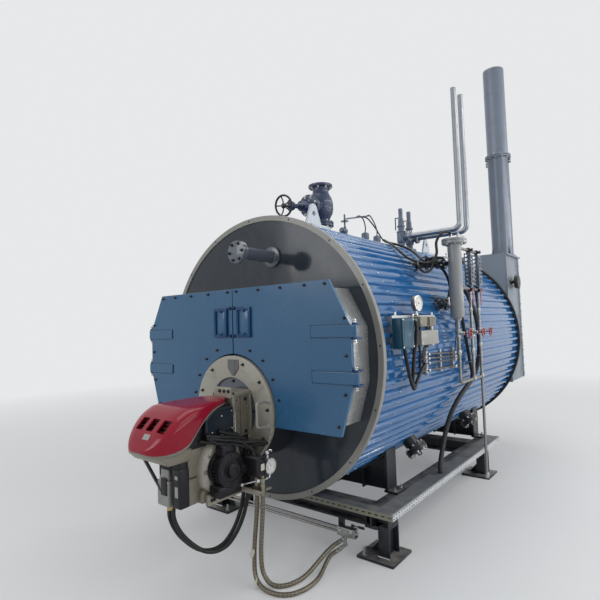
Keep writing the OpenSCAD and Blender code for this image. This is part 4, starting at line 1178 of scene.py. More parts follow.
def make_motor():
    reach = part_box("burner_motor")[1].x - 0.025
    cy, cz = -0.585, 0.75
    n = reach - 0.2
    drum = turned([(0.09, 0.0), (0.105, 0.004), (0.105, 0.03), (0.094, 0.034), (0.094, n - 0.036),
        (0.104, n - 0.032), (0.105, n - 0.01), (0.098, n - 0.002), (0.07, n), (0.066, n - 0.006),
        (0.05, n - 0.006), (0.046, n)], 72, per_metre=1)
    aim(drum, at(0.2, cy, cz), X)
    fins = []
    for i in range(30):
        a = 2 * pi * i / 30
        fin = block((0.0, -0.0018, 0.092), (n - 0.068, 0.0018, 0.1035), 0.0008, 1)
        fin.matrix_world = Matrix.Translation(at(0.234, cy, cz)) @ Matrix.Rotation(a, 4, "X")
        fins.append(fix_place(fin))
    top = slab((0.222, cy - 0.058, cz + 0.085), (0.2 + n - 0.02, cy + 0.058, cz + 0.148), 0.008, 3)
    foot = slab((0.205, cy - 0.095, cz - 0.15), (0.2 + n - 0.01, cy + 0.085, cz - 0.088), 0.006, 2)
    settle(joined(drum, *fins, top, foot), "burner_motor_case", MOTOR,
        stands_for=("burner_motor",), angle=30)
    hub = turned([(42, 0), (42, 18), (38, 24), (24, 25), (22, 20), (10, 19)], 40)
    settle(aim(hub, at(reach - 0.001, cy, cz), X), "motor_hub", MOTOR)
    bolts = circle_of(at(reach - 0.001, cy, cz), X, 0.088, 4, 45)
    bolts += [(at(0.2 + n - 0.02, cy + s * 0.045, cz + z), X) for s in (-1, 1)
        for z in (0.098, 0.136)]
    settle(spread(hex_bolt(0.006, 0.005), bolts), "motor_bolts", BLACK)


def make_pump():
    plate = slab((0.175, -0.398, 0.595), (0.185, -0.32, 0.9), 0.002)
    body = slab((0.295, -0.462, 0.68), (0.4, -0.38, 0.8), 0.012, 3)
    set_in(body, lambda c, n: n.x > 0.99, (0.012, 0.0), (0.004, 0.006))
    shaft = lathe([(34, 0), (34, 20), (28, 24), (28, 80), (36, 84), (36, 114)],
        at(0.185, -0.362, 0.74), X, 36)
    knob = lathe([(16, 0), (16, 10), (12, 12), (12, 20)], at(0.356, -0.405, 0.798), Z, 16)
    box = slab((0.184, -0.414, 0.595), (0.285, -0.375, 0.665), 0.005)
    settle(joined(plate, body, shaft, knob, box), "oil_pump_body", PLASTIC,
        stands_for=("oil_pump",))
    bolts = [(at(0.4, y, z), X) for y in (-0.448, -0.394) for z in (0.694, 0.786)]
    settle(spread(hex_bolt(0.006, 0.006), bolts), "oil_pump_bolts", BLACK)
    settle(slab((0.4055, -0.438, 0.722), (0.4075, -0.406, 0.762), 0.0006, 1),
        "bare_pump_plate", PAPER)
    ferrules = []
    for x in (0.335, 0.385):
        ferrule = turned([(16.5, 0), (18, 3), (18, 70), (15, 73), (15, 82), (18.5, 84),
            (18.5, 104), (12, 106), (12, 120)], 24)
        ferrules.append(aim(ferrule, at(x, -0.405, 0.564), Z))
    settle(ferrules, "hose_ferrules", FERRULE)
    stem = pipe([at(0.385, -0.395, 0.655), at(0.385, -0.338, 0.655),
        at(0.385, -0.338, 0.7)], 0.0075, 0.015, 12)
    case = turned([(44, 0), (49, 4), (49, 20), (49.5, 21), (49.5, 25), (44.5, 25), (44, 20)], 56)
    aim(case, at(0.376, -0.338, 0.728), X)
    settle(joined(stem, case), "oil_gauge_case", BRIGHT)
    face = turned([(44.2, 0), (44.2, 1)], 48)
    settle(aim(face, at(0.3965, -0.338, 0.728), X), "oil_gauge_face",
        dial_face("oil_gauge_dial", at(0.3975, -0.338, 0.728), X, 0.044))
    hand = block((-0.0006, -0.0012, -0.008), (0.0006, 0.0012, 0.032), 0.0004, 1)
    hand.data.transform(Matrix.Translation(at(0.3982, -0.338, 0.728)) @ swing(35, "X"))
    settle(hand, "oil_gauge_hand", BLACK)
    cock = turned([(10, 0), (12, 6), (12, 20), (8, 22), (8, 28), (17, 30), (17, 44), (13, 49)], 20)
    aim(cock, at(0.38, -0.352, 0.776), Z)
    lever = pipe([at(0.38, -0.352, 0.818), at(0.388, -0.33, 0.828),
        at(0.392, -0.318, 0.812)], 0.004, 0.008, 8)
    settle(joined(cock, lever), "gauge_cock", BRIGHT)
    rod = pipe([at(0.3, -0.505, 0.64), at(0.405, -0.47, 0.672)], 0.005, 0.01, 10)
    ends = [lathe([(10, 0), (12, 3), (12, 14), (10, 17)], p, X, 16)
        for p in (at(0.296, -0.507, 0.64), at(0.4, -0.47, 0.672))]
    settle(joined(rod, *ends), "lever_rod", BRIGHT)


def make_control_boxes():
    lower = slab((-0.02, -0.89, 0.575), (0.095, -0.805, 0.725), 0.008, 3)
    set_in(lower, lambda c, n: n.y < -0.99, (0.01, -0.002))
    upper = slab((0.008, -0.884, 0.722), (0.082, -0.805, 0.79), 0.008, 3)
    settle(joined(lower, upper), "smoked_control_box", CLEAR, stands_for=("control_boxes",))
    settle(slab((0.02, -0.8915, 0.64), (0.076, -0.889, 0.74), 0.003), "control_window", PLASTIC)
    dark = slab((0.105, -0.875, 0.575), (0.18, -0.805, 0.8), 0.008, 3)
    settle(dark, "relay_box", PLASTIC)
    terminals = [slab((0.135, -0.879, z), (0.162, -0.874, z + h), 0.002)
        for z, h in ((0.742, 0.022), (0.64, 0.062))]
    settle(terminals, "bare_terminal_plates", GREYBOX)
    fitting = lathe([(16, 0), (18, 4), (18, 20), (12, 22), (12, 40)],
        at(0.065, -0.862, 0.552), Z, 20)
    settle(fitting, "cable_gland", BRASS)
    strut = tube([at(-0.15, -0.905, 0.85), at(0.02, -0.88, 0.65)], 0.011, 4)[0]
    settle(strut, "box_strut", BLACK)


def make_burner_leads():
    routes = [
        [(0.205, -0.7, 0.965), (0.23, -0.6, 0.94), (0.245, -0.52, 0.925), (0.255, -0.44, 0.9),
            (0.26, -0.38, 0.86), (0.3, -0.36, 0.815)],
        [(0.2, -0.69, 0.95), (0.238, -0.61, 0.925), (0.262, -0.52, 0.905), (0.285, -0.44, 0.882),
            (0.33, -0.372, 0.88), (0.352, -0.33, 0.866), (0.33, -0.31, 0.85), (0.29, -0.35, 0.845),
            (0.262, -0.42, 0.85)],
        [(0.205, -0.6, 0.975), (0.222, -0.54, 0.95), (0.24, -0.48, 0.93), (0.24, -0.42, 0.88),
            (0.215, -0.39, 0.78), (0.208, -0.392, 0.69)],
        [(0.2, -0.68, 0.94), (0.225, -0.66, 0.925), (0.255, -0.63, 0.905), (0.265, -0.6, 0.896)],
        [(0.205, -0.52, 0.96), (0.225, -0.49, 0.93), (0.27, -0.47, 0.89), (0.33, -0.44, 0.85),
            (0.35, -0.41, 0.815)],
        [(0.17, -0.72, 0.93), (0.225, -0.64, 0.912), (0.25, -0.56, 0.895), (0.275, -0.48, 0.87),
            (0.3, -0.43, 0.84), (0.29, -0.4, 0.79)]]
    parts = [cable(route, r, 8) for route, r in zip(routes,
        (0.012, 0.0115, 0.013, 0.009, 0.008, 0.01))]
    settle(parts, "burner_leads", RUBBER, angle=60)


make_burner_ring()
make_burner_body()
dress_hood()
make_head()
make_fan()
make_motor()
make_pump()
make_control_boxes()
make_burner_leads()


# Doors' hinge pins

def make_hinges():
    pins, lugs = [], []
    for z0, z1 in ((1.536, 1.606), (1.261, 1.331)):
        pins.append(lathe([(11.5, 0), (11.5, 8), (9, 10), (9, 128), (11.5, 130), (11.5, 138),
            (6, 141)], at(1.005, -0.25, z0 - 0.034), Z, 20))
        for z in (z0 - 0.015, z1 + 0.001):
            lug = slab((0.94, -0.228, z), (1.0185, -0.19, z + 0.014), 0.002, 1)
            ear = turned([(14, 0), (14.5, 1), (14.5, 13), (14, 14)], 24)
            arm = slab((0.991, -0.25, z), (1.019, -0.205, z + 0.014), 0.002, 1)
            lugs.append(joined(lug, arm, aim(ear, at(1.005, -0.25, z), Z)))
    pin, lug = joined(*pins), joined(*lugs)
    for side, make in (("right", copy_of), ("left", mirrored)):
        settle(make(pin), side + "_hinge_pins", BRIGHT)
        settle(make(lug), side + "_hinge_lugs", DOOR_DEEP,
            stands_for=("hinge_posts",) if side == "right" else ())
    bpy.data.objects.remove(pin)
    bpy.data.objects.remove(lug)


# Skid

def make_skid():
    beams = []
    for s in (1, -1):
        web = slab((s * 0.702, 0.27, 0.205), (s * 0.798, 2.8, 0.33), 0)
        for side in (1, -1):
            hollow = slab((s * 0.75 + side * 0.006, 0.2, 0.219),
                (s * 0.75 + side * 0.08, 2.9, 0.316), 0)
            cut(web, hollow)
        beams.append(ease(web, 0.003))
    for y in CROSS_BEAMS:
        cross = slab((-0.8715, y - 0.074, 0.205), (0.8715, y + 0.074, 0.3298), 0)
        for side in (1, -1):
            hollow = slab((-0.9, y + side * 0.006, 0.219), (0.9, y + side * 0.1, 0.316), 0)
            cut(cross, hollow)
        beams.append(ease(cross, 0.003))
        for x in (-0.869, -0.7, 0.692, 0.861):
            beams.append(slab((x, y - 0.07, 0.214), (x + 0.008, y + 0.07, 0.322), 0.001, 1))
    settle(beams, "skid_beams", BLACK, stands_for=("skid_frame",))


def make_legs():
    parts, bolts, beads = [], [], []
    for y in CROSS_BEAMS:
        for s in (1, -1):
            post = slab((s * 0.787, y - 0.074, 0.016), (s * 0.871, y + 0.074, 0.206), 0)
            for side in (1, -1):
                hollow = slab((s * 0.829 + side * 0.005, y - 0.06, 0.01),
                    (s * 0.829 + side * 0.08, y + 0.06, 0.3), 0)
                cut(post, hollow)
            parts.append(ease(post, 0.0025))
            plate = slab((s * 0.65, y - 0.14, 0), (s * 0.93, y + 0.14, 0.02), 0.003)
            parts.append(plate)
            parts.append(slab((s * 0.64, y - 0.004, 0.018), (s * 0.79, y + 0.004, 0.024), 0.002, 1))
            slope = slab((s * 0.7, y - 0.004, 0.018), (s * 0.79, y + 0.004, 0.13), 0)
            slice_off(slope, at(s * 0.7, y, 0.03), (-s * 0.74, 0, 0.67))
            parts.append(ease(slope, 0.001, 1))
            bolts.append((at(s * 0.69, y - 0.1, 0.02), Z))
            for edge in (-1, 1):
                beads.append(weld([at(s * 0.785, y + edge * 0.077, 0.022),
                    at(s * 0.873, y + edge * 0.077, 0.022)], 0.0045))
    settle(parts, "skid_legs", BLACK, stands_for=("legs",))
    settle(spread(stud(0.016, 0.034), bolts), "anchor_studs", STEEL)
    settle(beads, "leg_welds", ZINC)


def slotted_strip(length, tall, pitch, slot_long, slot_wide, rows, thick=0.003):
    """A flat strip in X and Z with rows of round-ended slots, its face towards -Y."""
    count = max(1, int(length / pitch))
    plate = block((0, -thick / 2, 0), (pitch, thick / 2, tall), 0)
    for z in rows:
        hole = block((pitch / 2 - slot_long / 2, -0.02, z - slot_wide / 2),
            (pitch / 2 + slot_long / 2, 0.02, z + slot_wide / 2), 0)
        choose(hole, edges=lambda a, b: abs(a.x - b.x) < 1e-6 and abs(a.z - b.z) < 1e-6)
        bpy.ops.mesh.bevel(offset=slot_wide * 0.48, segments=4, affect="EDGES")
        put_down()
        cut(plate, hole)
    take(plate)
    mod = plate.modifiers.new("row", "ARRAY")
    mod.count = count
    mod.use_relative_offset = False
    mod.use_constant_offset = True
    mod.constant_offset_displace = (pitch, 0, 0)
    bpy.ops.object.modifier_apply(modifier="row")
    for v in plate.data.vertices:
        v.co.x *= length / (count * pitch)
    return plate


def make_tray():
    front = slotted_strip(1.85, 0.044, 0.05, 0.03, 0.009, (0.022,))
    front.data.transform(Matrix.Translation(at(-0.925, 0.2638, 0.29)))
    lip = slab((-0.925, 0.2622, 0.3315), (0.925, 0.2685, 0.334), 0.0008, 1)
    foot = slab((-0.925, 0.2622, 0.29), (0.925, 0.27, 0.2925), 0.0008, 1)
    settle(joined(front, lip, foot), "tray_front_strut", STRUT, stands_for=("cable_tray",))
    tops = [slab((-0.924, 0.266, 0.3305), (0.924, 0.345, 0.3338), 0.0008, 1)]
    for s in (1, -1):
        tops.append(slab((s * 0.785, 0.345, 0.3305), (s * 0.922, 2.78, 0.3338), 0.0008, 1))
    settle(tops, "tray_top", TRAY)
    sides = []
    for s in (1, -1):
        strip = slotted_strip(2.516, 0.044, 0.0393, 0.022, 0.008, (0.012, 0.033))
        strip.data.transform(swing(90, "Z"))
        strip.data.transform(Matrix.Translation(at(s * 0.923, 0.2635, 0.29)))
        sides.append(strip)
        for z in (0.29, 0.332):
            sides.append(slab((s * 0.9115, 0.2635, z), (s * 0.9245, 2.7795, z + 0.002), 0.0006, 1))
    settle(sides, "tray_side_struts", PUNCHED)
    clips = [slab((s * 0.8, y, 0.298), (s * 0.9205, y + 0.035, 0.3302), 0.002, 1) for s in (1, -1)
        for y in (0.56, 1.1, 1.64, 2.18, 2.7)]
    settle(clips, "tray_brackets", BLACK)
    bolts = [(at(s * 0.9246, y + 0.0175, 0.302), X * s) for s in (1, -1)
        for y in (0.3, 0.56, 1.1, 1.64, 2.18, 2.7)]
    settle(spread(hex_bolt(0.0045, 0.003), bolts), "tray_bolts", STEEL)


def make_saddle_parts():
    parts = []
    for y in SADDLES:
        for s in (1, -1):
            for x in (0.48, 0.24):
                rise = AXIS - sqrt(1.0445 ** 2 - x * x)
                parts.append(slab((s * (x - 0.006), y - 0.07, 0.332),
                    (s * (x + 0.006), y + 0.07, rise), 0.001, 1))
    settle(parts, "saddle_stiffeners", BLACK)
    bolts = [(at(s * 0.745, y + d, 0.345), Z) for y in SADDLES
        for d in (-0.05, 0.05) for s in (1, -1)]
    settle(spread(stud(0.011, 0.016), bolts), "saddle_bolts", STEEL)


def make_hand_holes():
    turn = radians(137)
    out = Vector((sin(turn), 0, cos(turn)))
    parts, bolts = [], []
    for y in (1.01, 2.3):
        root = at(0, y, AXIS)
        seat = 1.0305
        wall = lathe([(62, -30), (62, 66), (66, 70), (90, 70.5), (92, 73), (92, 93), (90, 94.8),
            (78, 95.2), (78, 96.8), (90, 97.2), (92, 99), (92, 115), (88, 117), (40, 117),
            (36, 113)], root + out * seat, out, 56)
        parts.append(wall)
        bolts += [(p, out) for p, _ in circle_of(root + out * (seat + 0.117), out, 0.074, 8, 10)]
        bolts += [(p, -out) for p, _ in circle_of(root + out * (seat + 0.0705), out, 0.074, 8, 10)]
        low, high = root + out * (seat + 0.114), root + out * (seat + 0.145)
        half = Y * 0.03
        handle = pipe([low - half, high - half, high + half, low + half], 0.005, 0.012, 8)
        parts.append(handle)
    settle(parts, "hand_hole_covers", BLACK, stands_for=("hand_holes",))
    settle(spread(stud(0.009, 0.01), bolts), "hand_hole_studs", STEEL)


# Fittings on the top

def make_lugs():
    for name, y, node in (("front", 0.54, ("lifting_lugs",)), ("rear", 2.846, ())):
        plate = slab((0.14, y - 0.11, 2.27), (0.16, y + 0.11, 2.5905), 0)
        for s in (1, -1):
            slice_off(plate, at(0.15, y + s * 0.11, 2.44), (0, s * 0.15, 0.064))
        head = lathe([(48, 0), (48, 20)], at(0.14, y, 2.58), X, 40)
        eye = lathe([(21, 0), (21, 60)], at(0.12, y, 2.545), X, 32)
        cut(plate, head, operation="UNION")
        cut(plate, eye)
        ease(plate, 0.0025, 2, 30)
        pad = slab((0.072, y - 0.13, 2.38), (0.23, y + 0.13, 2.4375), 0.004)
        settle(joined(plate, pad), name + "_lifting_lug", LUG, stands_for=node)
        beads = [weld([at(0.15 + s * 0.013, y + end, 2.44) for end in (-0.108, 0.108)], 0.0045)
            for s in (1, -1)]
        settle(beads, name + "_lug_welds", LUG)


def spoked_wheel(radius, rim, centre, axis, spokes=5, dish=0.012, sides=48):
    """A hand wheel whose dished spokes run from the hub to a round rim."""
    axis = Vector(axis).normalized()
    side = axis.orthogonal().normalized()
    other = axis.cross(side)
    put_down()
    bpy.ops.mesh.primitive_torus_add(major_radius=radius, minor_radius=rim, major_segments=sides,
        minor_segments=12, location=(0, 0, 0))
    parts = [aim(fix_place(bpy.context.object), centre, axis)]
    middle = Vector(centre)
    for k in range(spokes):
        t = 2 * pi * (k + 0.25) / spokes
        out = cos(t) * side + sin(t) * other
        parts.append(tube([middle - axis * dish * 0.4 + out * radius * 0.18,
            middle - axis * dish + out * radius * 0.55, middle + out * radius * 0.97],
            rim * 0.62, 8)[0])
    parts.append(lathe([(radius * 0.2, -rim), (radius * 0.26, -rim * 0.6),
        (radius * 0.26, rim * 0.6), (radius * 0.18, rim)], centre, axis, 24, per_metre=1))
    return joined(*parts)


def make_steam_valve():
    y = 0.87
    neck = lathe([(60, -20), (60, 4), (72, 6), (76, 10), (60, 30), (58, 40), (58, 66), (66, 70),
        (108.5, 70.5), (110, 73), (110, 90.5), (108, 91.8), (90, 92), (90, 93.5), (108, 93.8),
        (110, 96), (110, 112.5), (107, 114), (78, 116), (74, 130), (86, 158), (104, 192),
        (111.5, 228), (112, 265), (109, 300), (98, 335), (84, 362), (74, 385), (72, 420),
        (76, 432), (108, 433), (110, 436), (110, 454.5), (108, 457), (92, 457), (91.8, 455.5),
        (52.5, 455.5), (50, 452), (50, 290)], at(0, y, CROWN), Z, 72)
    tilt = radians(10)
    out = Vector((0, -cos(tilt), -sin(tilt)))
    root = at(0, y, 2.695)
    bonnet = lathe([(70, 60), (78, 80), (78, 140), (84, 150), (99, 150.5), (100, 152), (100, 170),
        (92, 170.5), (92, 172.5), (100, 173), (100, 192), (98, 194), (62, 195), (48, 206),
        (40, 225), (38, 285), (46, 288), (46, 300), (30, 302), (26, 322), (12, 324)], root, out, 56)
    arms = []
    for s in (1, -1):
        arms.append(tube([root + out * 0.196 + X * s * 0.05, root + out * 0.26 + X * s * 0.062,
            root + out * 0.36 + X * s * 0.056, root + out * 0.435 + X * s * 0.034], 0.0105, 10)[0])
        arms.append(lathe([(10, 0), (12, 2), (12, 12), (10, 14)],
            root + out * 0.286 + X * s * 0.024, X * s, 12))
    head = lathe([(30, 424), (40, 428), (40, 446), (30, 455), (12.5, 455)], root, out, 32)
    settle(joined(neck, bonnet, head, *arms), "steam_valve_body", DARKBLUE,
        stands_for=("steam_valve",))
    studs = circle_of(at(0, y, 2.544), Z, 0.09, 8, 22.5)
    studs += circle_of(at(0, y, 2.863), -Z, 0.09, 8, 22.5)
    studs += circle_of(at(0, y, 2.5), -Z, 0.09, 8, 22.5)
    studs += circle_of(root + out * 0.194, out, 0.084, 8, 15)
    settle(spread(stud(0.0095, 0.008), studs), "steam_valve_studs", STEEL)
    hub = root + out * 0.54
    wheel = spoked_wheel(0.085, 0.0088, hub, out, 5, 0.01)
    screw = lathe([(0.0115, -0.285), (0.012, -0.283)] + [(0.012 - 0.0012 * (i % 2),
        -0.24 + 0.004 * i) for i in range(44)] + [(0.012, -0.02), (0.012, 0.0145), (0.009, 0.015)],
        hub, out, 16, per_metre=1)
    settle(joined(wheel, screw), "steam_wheel_rim", BLACK, "steam_wheel", ("steam_wheel",))


def make_relief(y, k):
    base = at(0, y, CROWN)
    body = lathe([(36, -30), (38, 20), (46, 29.5), (74, 30), (75, 32), (75, 43.5), (70, 44),
        (70, 46), (75, 46.5), (75, 58), (72, 60), (40, 62), (37, 75), (37, 112), (50, 128),
        (52, 140), (52, 232), (50, 244), (56, 249), (56, 258), (38, 262), (34, 272), (34, 308),
        (45, 310), (46, 312), (46, 326), (45, 328), (34, 330), (31, 395), (31, 408), (24, 410),
        (24, 470), (25.5, 472), (25.5, 520), (22, 533), (12, 534.5)], base, Z, 44)
    branch = lathe([(38, 0), (38, 60), (44, 80), (61, 83.5), (62, 85), (62, 98.5),
        (60, 99.5)], at(0, y, 2.62), X, 44)
    settle(joined(body, branch), "relief_body_" + k, VALVE,
        stands_for=("relief_valves",) if k == "front" else ())
    lever = joined(slab((-0.069, y - 0.006, 2.85), (0.006, y + 0.006, 2.861), 0.002),
        slab((-0.0755, y - 0.006, 2.712), (-0.065, y + 0.006, 2.861), 0.002),
        lathe([(10, 0), (12, 2), (12, 18), (10, 20)], at(-0.002, y - 0.01, 2.856), Y, 16))
    settle(lever, "relief_lever_" + k, RED if k == "rear" else TEAL)
    studs = circle_of(base + Z * 0.06, Z, 0.06, 4, 45)
    studs += circle_of(at(0.0835, y, 2.62), -X, 0.05, 4, 45)
    settle(spread(stud(0.0075, 0.006), studs), "relief_studs_" + k, STEEL)


def make_vent(y, k):
    bend = 0.075
    r = 0.03
    route = [at(0.1155, y, 2.62), at(0.625, y, 2.62)]
    for i in range(1, 13):
        a = radians(90 * i / 12)
        route.append(at(0.625 + bend * sin(a), y, 2.62 + bend * (1 - cos(a))))
    route.append(at(0.7, y, 4.1998))
    run = tube(route, r, 28)[0]
    cut(run, tube([at(0.7, y, 4.0), at(0.7, y, 4.3)], r - 0.002, 28)[0])
    flange = lathe([(30.5, 0), (62, 0.5), (62, 15), (60, 16), (36, 16.2), (31, 22)],
        at(0.0998, y, 2.62), X, 44)
    beads = []
    for place, axis in ((at(0.62, y, 2.62), X), (at(0.7, y, 2.7), Z), (at(0.7, y, 3.5), Z)):
        beads.append(lathe([(30, 0), (30.6, 2), (30.6, 4), (30, 6)], place, axis, 28))
    settle(joined(run, flange, *beads), "vent_" + k, VENT,
        stands_for=("vent_pipes",) if k == "front" else ())
    settle(spread(stud(0.0075, 0.006), circle_of(at(0.1155, y, 2.62), X, 0.05, 4, 45)),
        "vent_studs_" + k, BRIGHT)


def make_top_fittings():
    small = lathe([(24, -30), (24, 20), (44, 30), (45, 32), (45, 38), (42, 38.5), (42, 41),
        (45, 41.5), (45, 50), (26, 52), (22, 62), (28, 80), (28, 100), (20, 108), (14, 112),
        (14, 130), (8.5, 132), (8.5, 186)], at(0, 1.262, CROWN), Z, 36)
    branch = lathe([(20, 0), (20, 45), (28, 47), (28, 60), (20, 62), (18, 71.8)],
        at(0, 1.262, 2.52), -Y, 28)
    settle(joined(small, branch), "air_valve", VALVE, stands_for=("top_fittings",))
    settle(spoked_wheel(0.034, 0.0045, at(0, 1.262, 2.617), Z, 3, 0.003, 28),
        "air_valve_wheel", BLACK)
    for k, y in (("front", 1.65), ("rear", 1.9)):
        probe = lathe([(30, -30), (30, 6), (28, 10), (28, 40), (36, 44), (36, 58), (40, 60),
            (40, 112), (34, 122), (16, 124), (16, 128.5)], at(0, y, CROWN), Z, 30)
        settle(probe, "level_probe_" + k, VALVE)
    arm = pipe([at(0, 1.262, 2.6), at(0, 1.262, 2.64), at(0, 1.745, 2.752)], 0.008, 0.02, 10)
    post = lathe([(9, 0), (9, 70), (5, 76)], at(0, 1.262, 2.612), Z, 12)
    settle(joined(arm, post), "cable_arm", VALVE)
    leads = [
        cable([(0, 1.65, 2.556), (0.004, 1.652, 2.62), (0.006, 1.61, 2.69), (0.004, 1.54, 2.716),
            (0.002, 1.47, 2.69)], 0.006, 8),
        cable([(0, 1.9, 2.556), (0.004, 1.896, 2.62), (0.006, 1.83, 2.7), (0.004, 1.75, 2.755),
            (0.002, 1.69, 2.741)], 0.006, 8),
        cable([(0.004, 1.6, 2.715), (0.04, 1.64, 2.7), (0.11, 1.66, 2.6), (0.2, 1.6, 2.49),
            (0.262, 1.55, CROWN), (0.34, 1.53, 2.392)], 0.007, 8)]
    settle(leads, "probe_leads", RUBBER)


make_hinges()
make_skid()
make_legs()
make_tray()
make_saddle_parts()
make_hand_holes()
make_lugs()
make_steam_valve()
for row, tag in ((2.5, "front"), (2.72, "rear")):
    make_relief(row, tag)
    make_vent(row, tag)
make_top_fittings()


# Level column, gauges and their pipes

def make_column():
    column = lathe([(29, -19.5), (30, -6), (36, 0), (50, 10), (54, 26), (54, 598), (60, 602.8),
        (96.5, 603), (98, 605), (98, 622.5), (96.5, 624), (86, 624.2), (86, 625.8), (96.5, 626),
        (98, 628), (98, 642.5), (95.5, 644)], at(COL_X, COL_Y, 1.631), Z, 64)
    ring = lathe([(53.5, 0), (56.5, 2), (56.5, 6), (53.5, 8)], at(COL_X, COL_Y, 1.668), Z, 48)
    settle(joined(column, ring), "level_column_body", COLUMN, stands_for=("level_column",))
    places = circle_of(at(COL_X, COL_Y, 2.2345), -Z, 0.08, 8, 22.5)
    settle(spread(hex_bolt(0.0085, 0.008), places), "column_flange_bolts", STEEL)
    cocks = [lathe([(15, 0), (15, 8), (9, 10), (9, 24), (13, 26), (13, 38), (6, 41), (6, 52)],
        at(COL_X + x, COL_Y + y, 2.2745), Z, 18) for x, y in ((-0.02, -0.02), (0.025, 0.03))]
    cocks.append(pipe([at(COL_X + 0.025, COL_Y + 0.03, 2.308),
        at(COL_X + 0.025, COL_Y + 0.17, 2.316)], 0.0042, 0.01, 10))
    settle(cocks, "column_top_cocks", STEEL)


def hand_valve(centre, axis, out, r, wheel_r, reach, name, finish=BLACK):
    """A globe valve on a pipe: flanged body, bonnet, stem and a hand wheel."""
    axis, out = Vector(axis), Vector(out)
    body = lathe([(r * 0.75, -r * 1.55), (r * 1.35, -r * 1.54), (r * 1.38, -r * 1.5),
        (r * 1.38, -r * 1.22), (r * 1.33, -r * 1.18), (r * 0.8, -r * 1.15), (r * 0.86, -r * 0.8),
        (r * 1.04, -r * 0.3), (r * 1.04, r * 0.3), (r * 0.86, r * 0.8), (r * 0.8, r * 1.15),
        (r * 1.33, r * 1.18), (r * 1.38, r * 1.22), (r * 1.38, r * 1.5), (r * 1.33, r * 1.54),
        (r * 0.75, r * 1.55)], centre, axis, 36, per_metre=1)
    bonnet = lathe([(r * 0.7, r * 0.4), (r * 0.7, r * 1.05), (r * 0.95, r * 1.1),
        (r * 0.95, r * 1.4), (r * 0.62, r * 1.45), (r * 0.42, r * 1.9), (r * 0.42, r * 2.2),
        (r * 0.3, r * 2.25), (r * 0.16, r * 2.3), (r * 0.16, reach - 0.004),
        (r * 0.3, reach - 0.002), (r * 0.3, reach + 0.006)], centre, out, 28, per_metre=1)
    wheel = spoked_wheel(wheel_r, wheel_r * 0.12, Vector(centre) + out * reach, out, 4, 0.004, 36)
    return settle(joined(body, bonnet, wheel), name, finish)


def make_column_branches():
    pipes, bolts = [], []
    for z, x0 in ((2.09, 0.742), (1.75, 0.95)):
        pipes.append(lathe([(0.026, 0), (0.026, COL_X - 0.052 - x0)],
            at(x0, COL_Y, z), X, 32, per_metre=1))
        pipes.append(lathe([(25.5, 0), (51, 0.5), (52, 2), (52, 7), (48, 7.2), (48, 8.8), (52, 9),
            (52, 15.5), (50, 17), (25.5, 17.2)], at(1.005, COL_Y, z), X, 40))
        bolts += circle_of(at(1.0225, COL_Y, z), X, 0.041, 6, 15)
        bolts += circle_of(at(1.0045, COL_Y, z), -X, 0.041, 6, 15)
        reach = sqrt(1.03 ** 2 - (z - AXIS) ** 2)
        pipes.append(lathe([(40, -40), (40, 10), (36, 16), (26, 18)],
            at(reach - 0.004, COL_Y, z), X, 36))
    settle(pipes, "column_branches", BLACK, stands_for=("column_valves",))
    hand_valve(at(0.905, COL_Y, 2.09), X, -Y, 0.034, 0.042, 0.158, "upper_branch_valve")
    collar = lathe([(20, 20), (24, 30), (24, 100), (14, 108), (8, 110), (8, 150), (12, 152),
        (12, 164)], at(1.018, COL_Y, 1.75), -Y, 24)
    wheel = spoked_wheel(0.041, 0.0055, at(1.018, COL_Y - 0.158, 1.75), -Y, 4, 0.004, 36)
    settle(joined(collar, wheel), "lower_branch_valve", BLACK)
    settle(spread(stud(0.0065, 0.006), bolts), "branch_studs", BRIGHT)
    tees = []
    for z, y in ((2.1, 1.09), (1.742, 1.085)):
        tees.append(slab((1.046, y, z - 0.014), (1.074, y + 0.036, z + 0.014), 0.004))
        tees.append(lathe([(8, 0), (8, 30), (11, 32), (11, 44)],
            at(1.06, y + 0.018, z + 0.014), Z, 14))
    settle(tees, "sampling_cocks", BRIGHT)


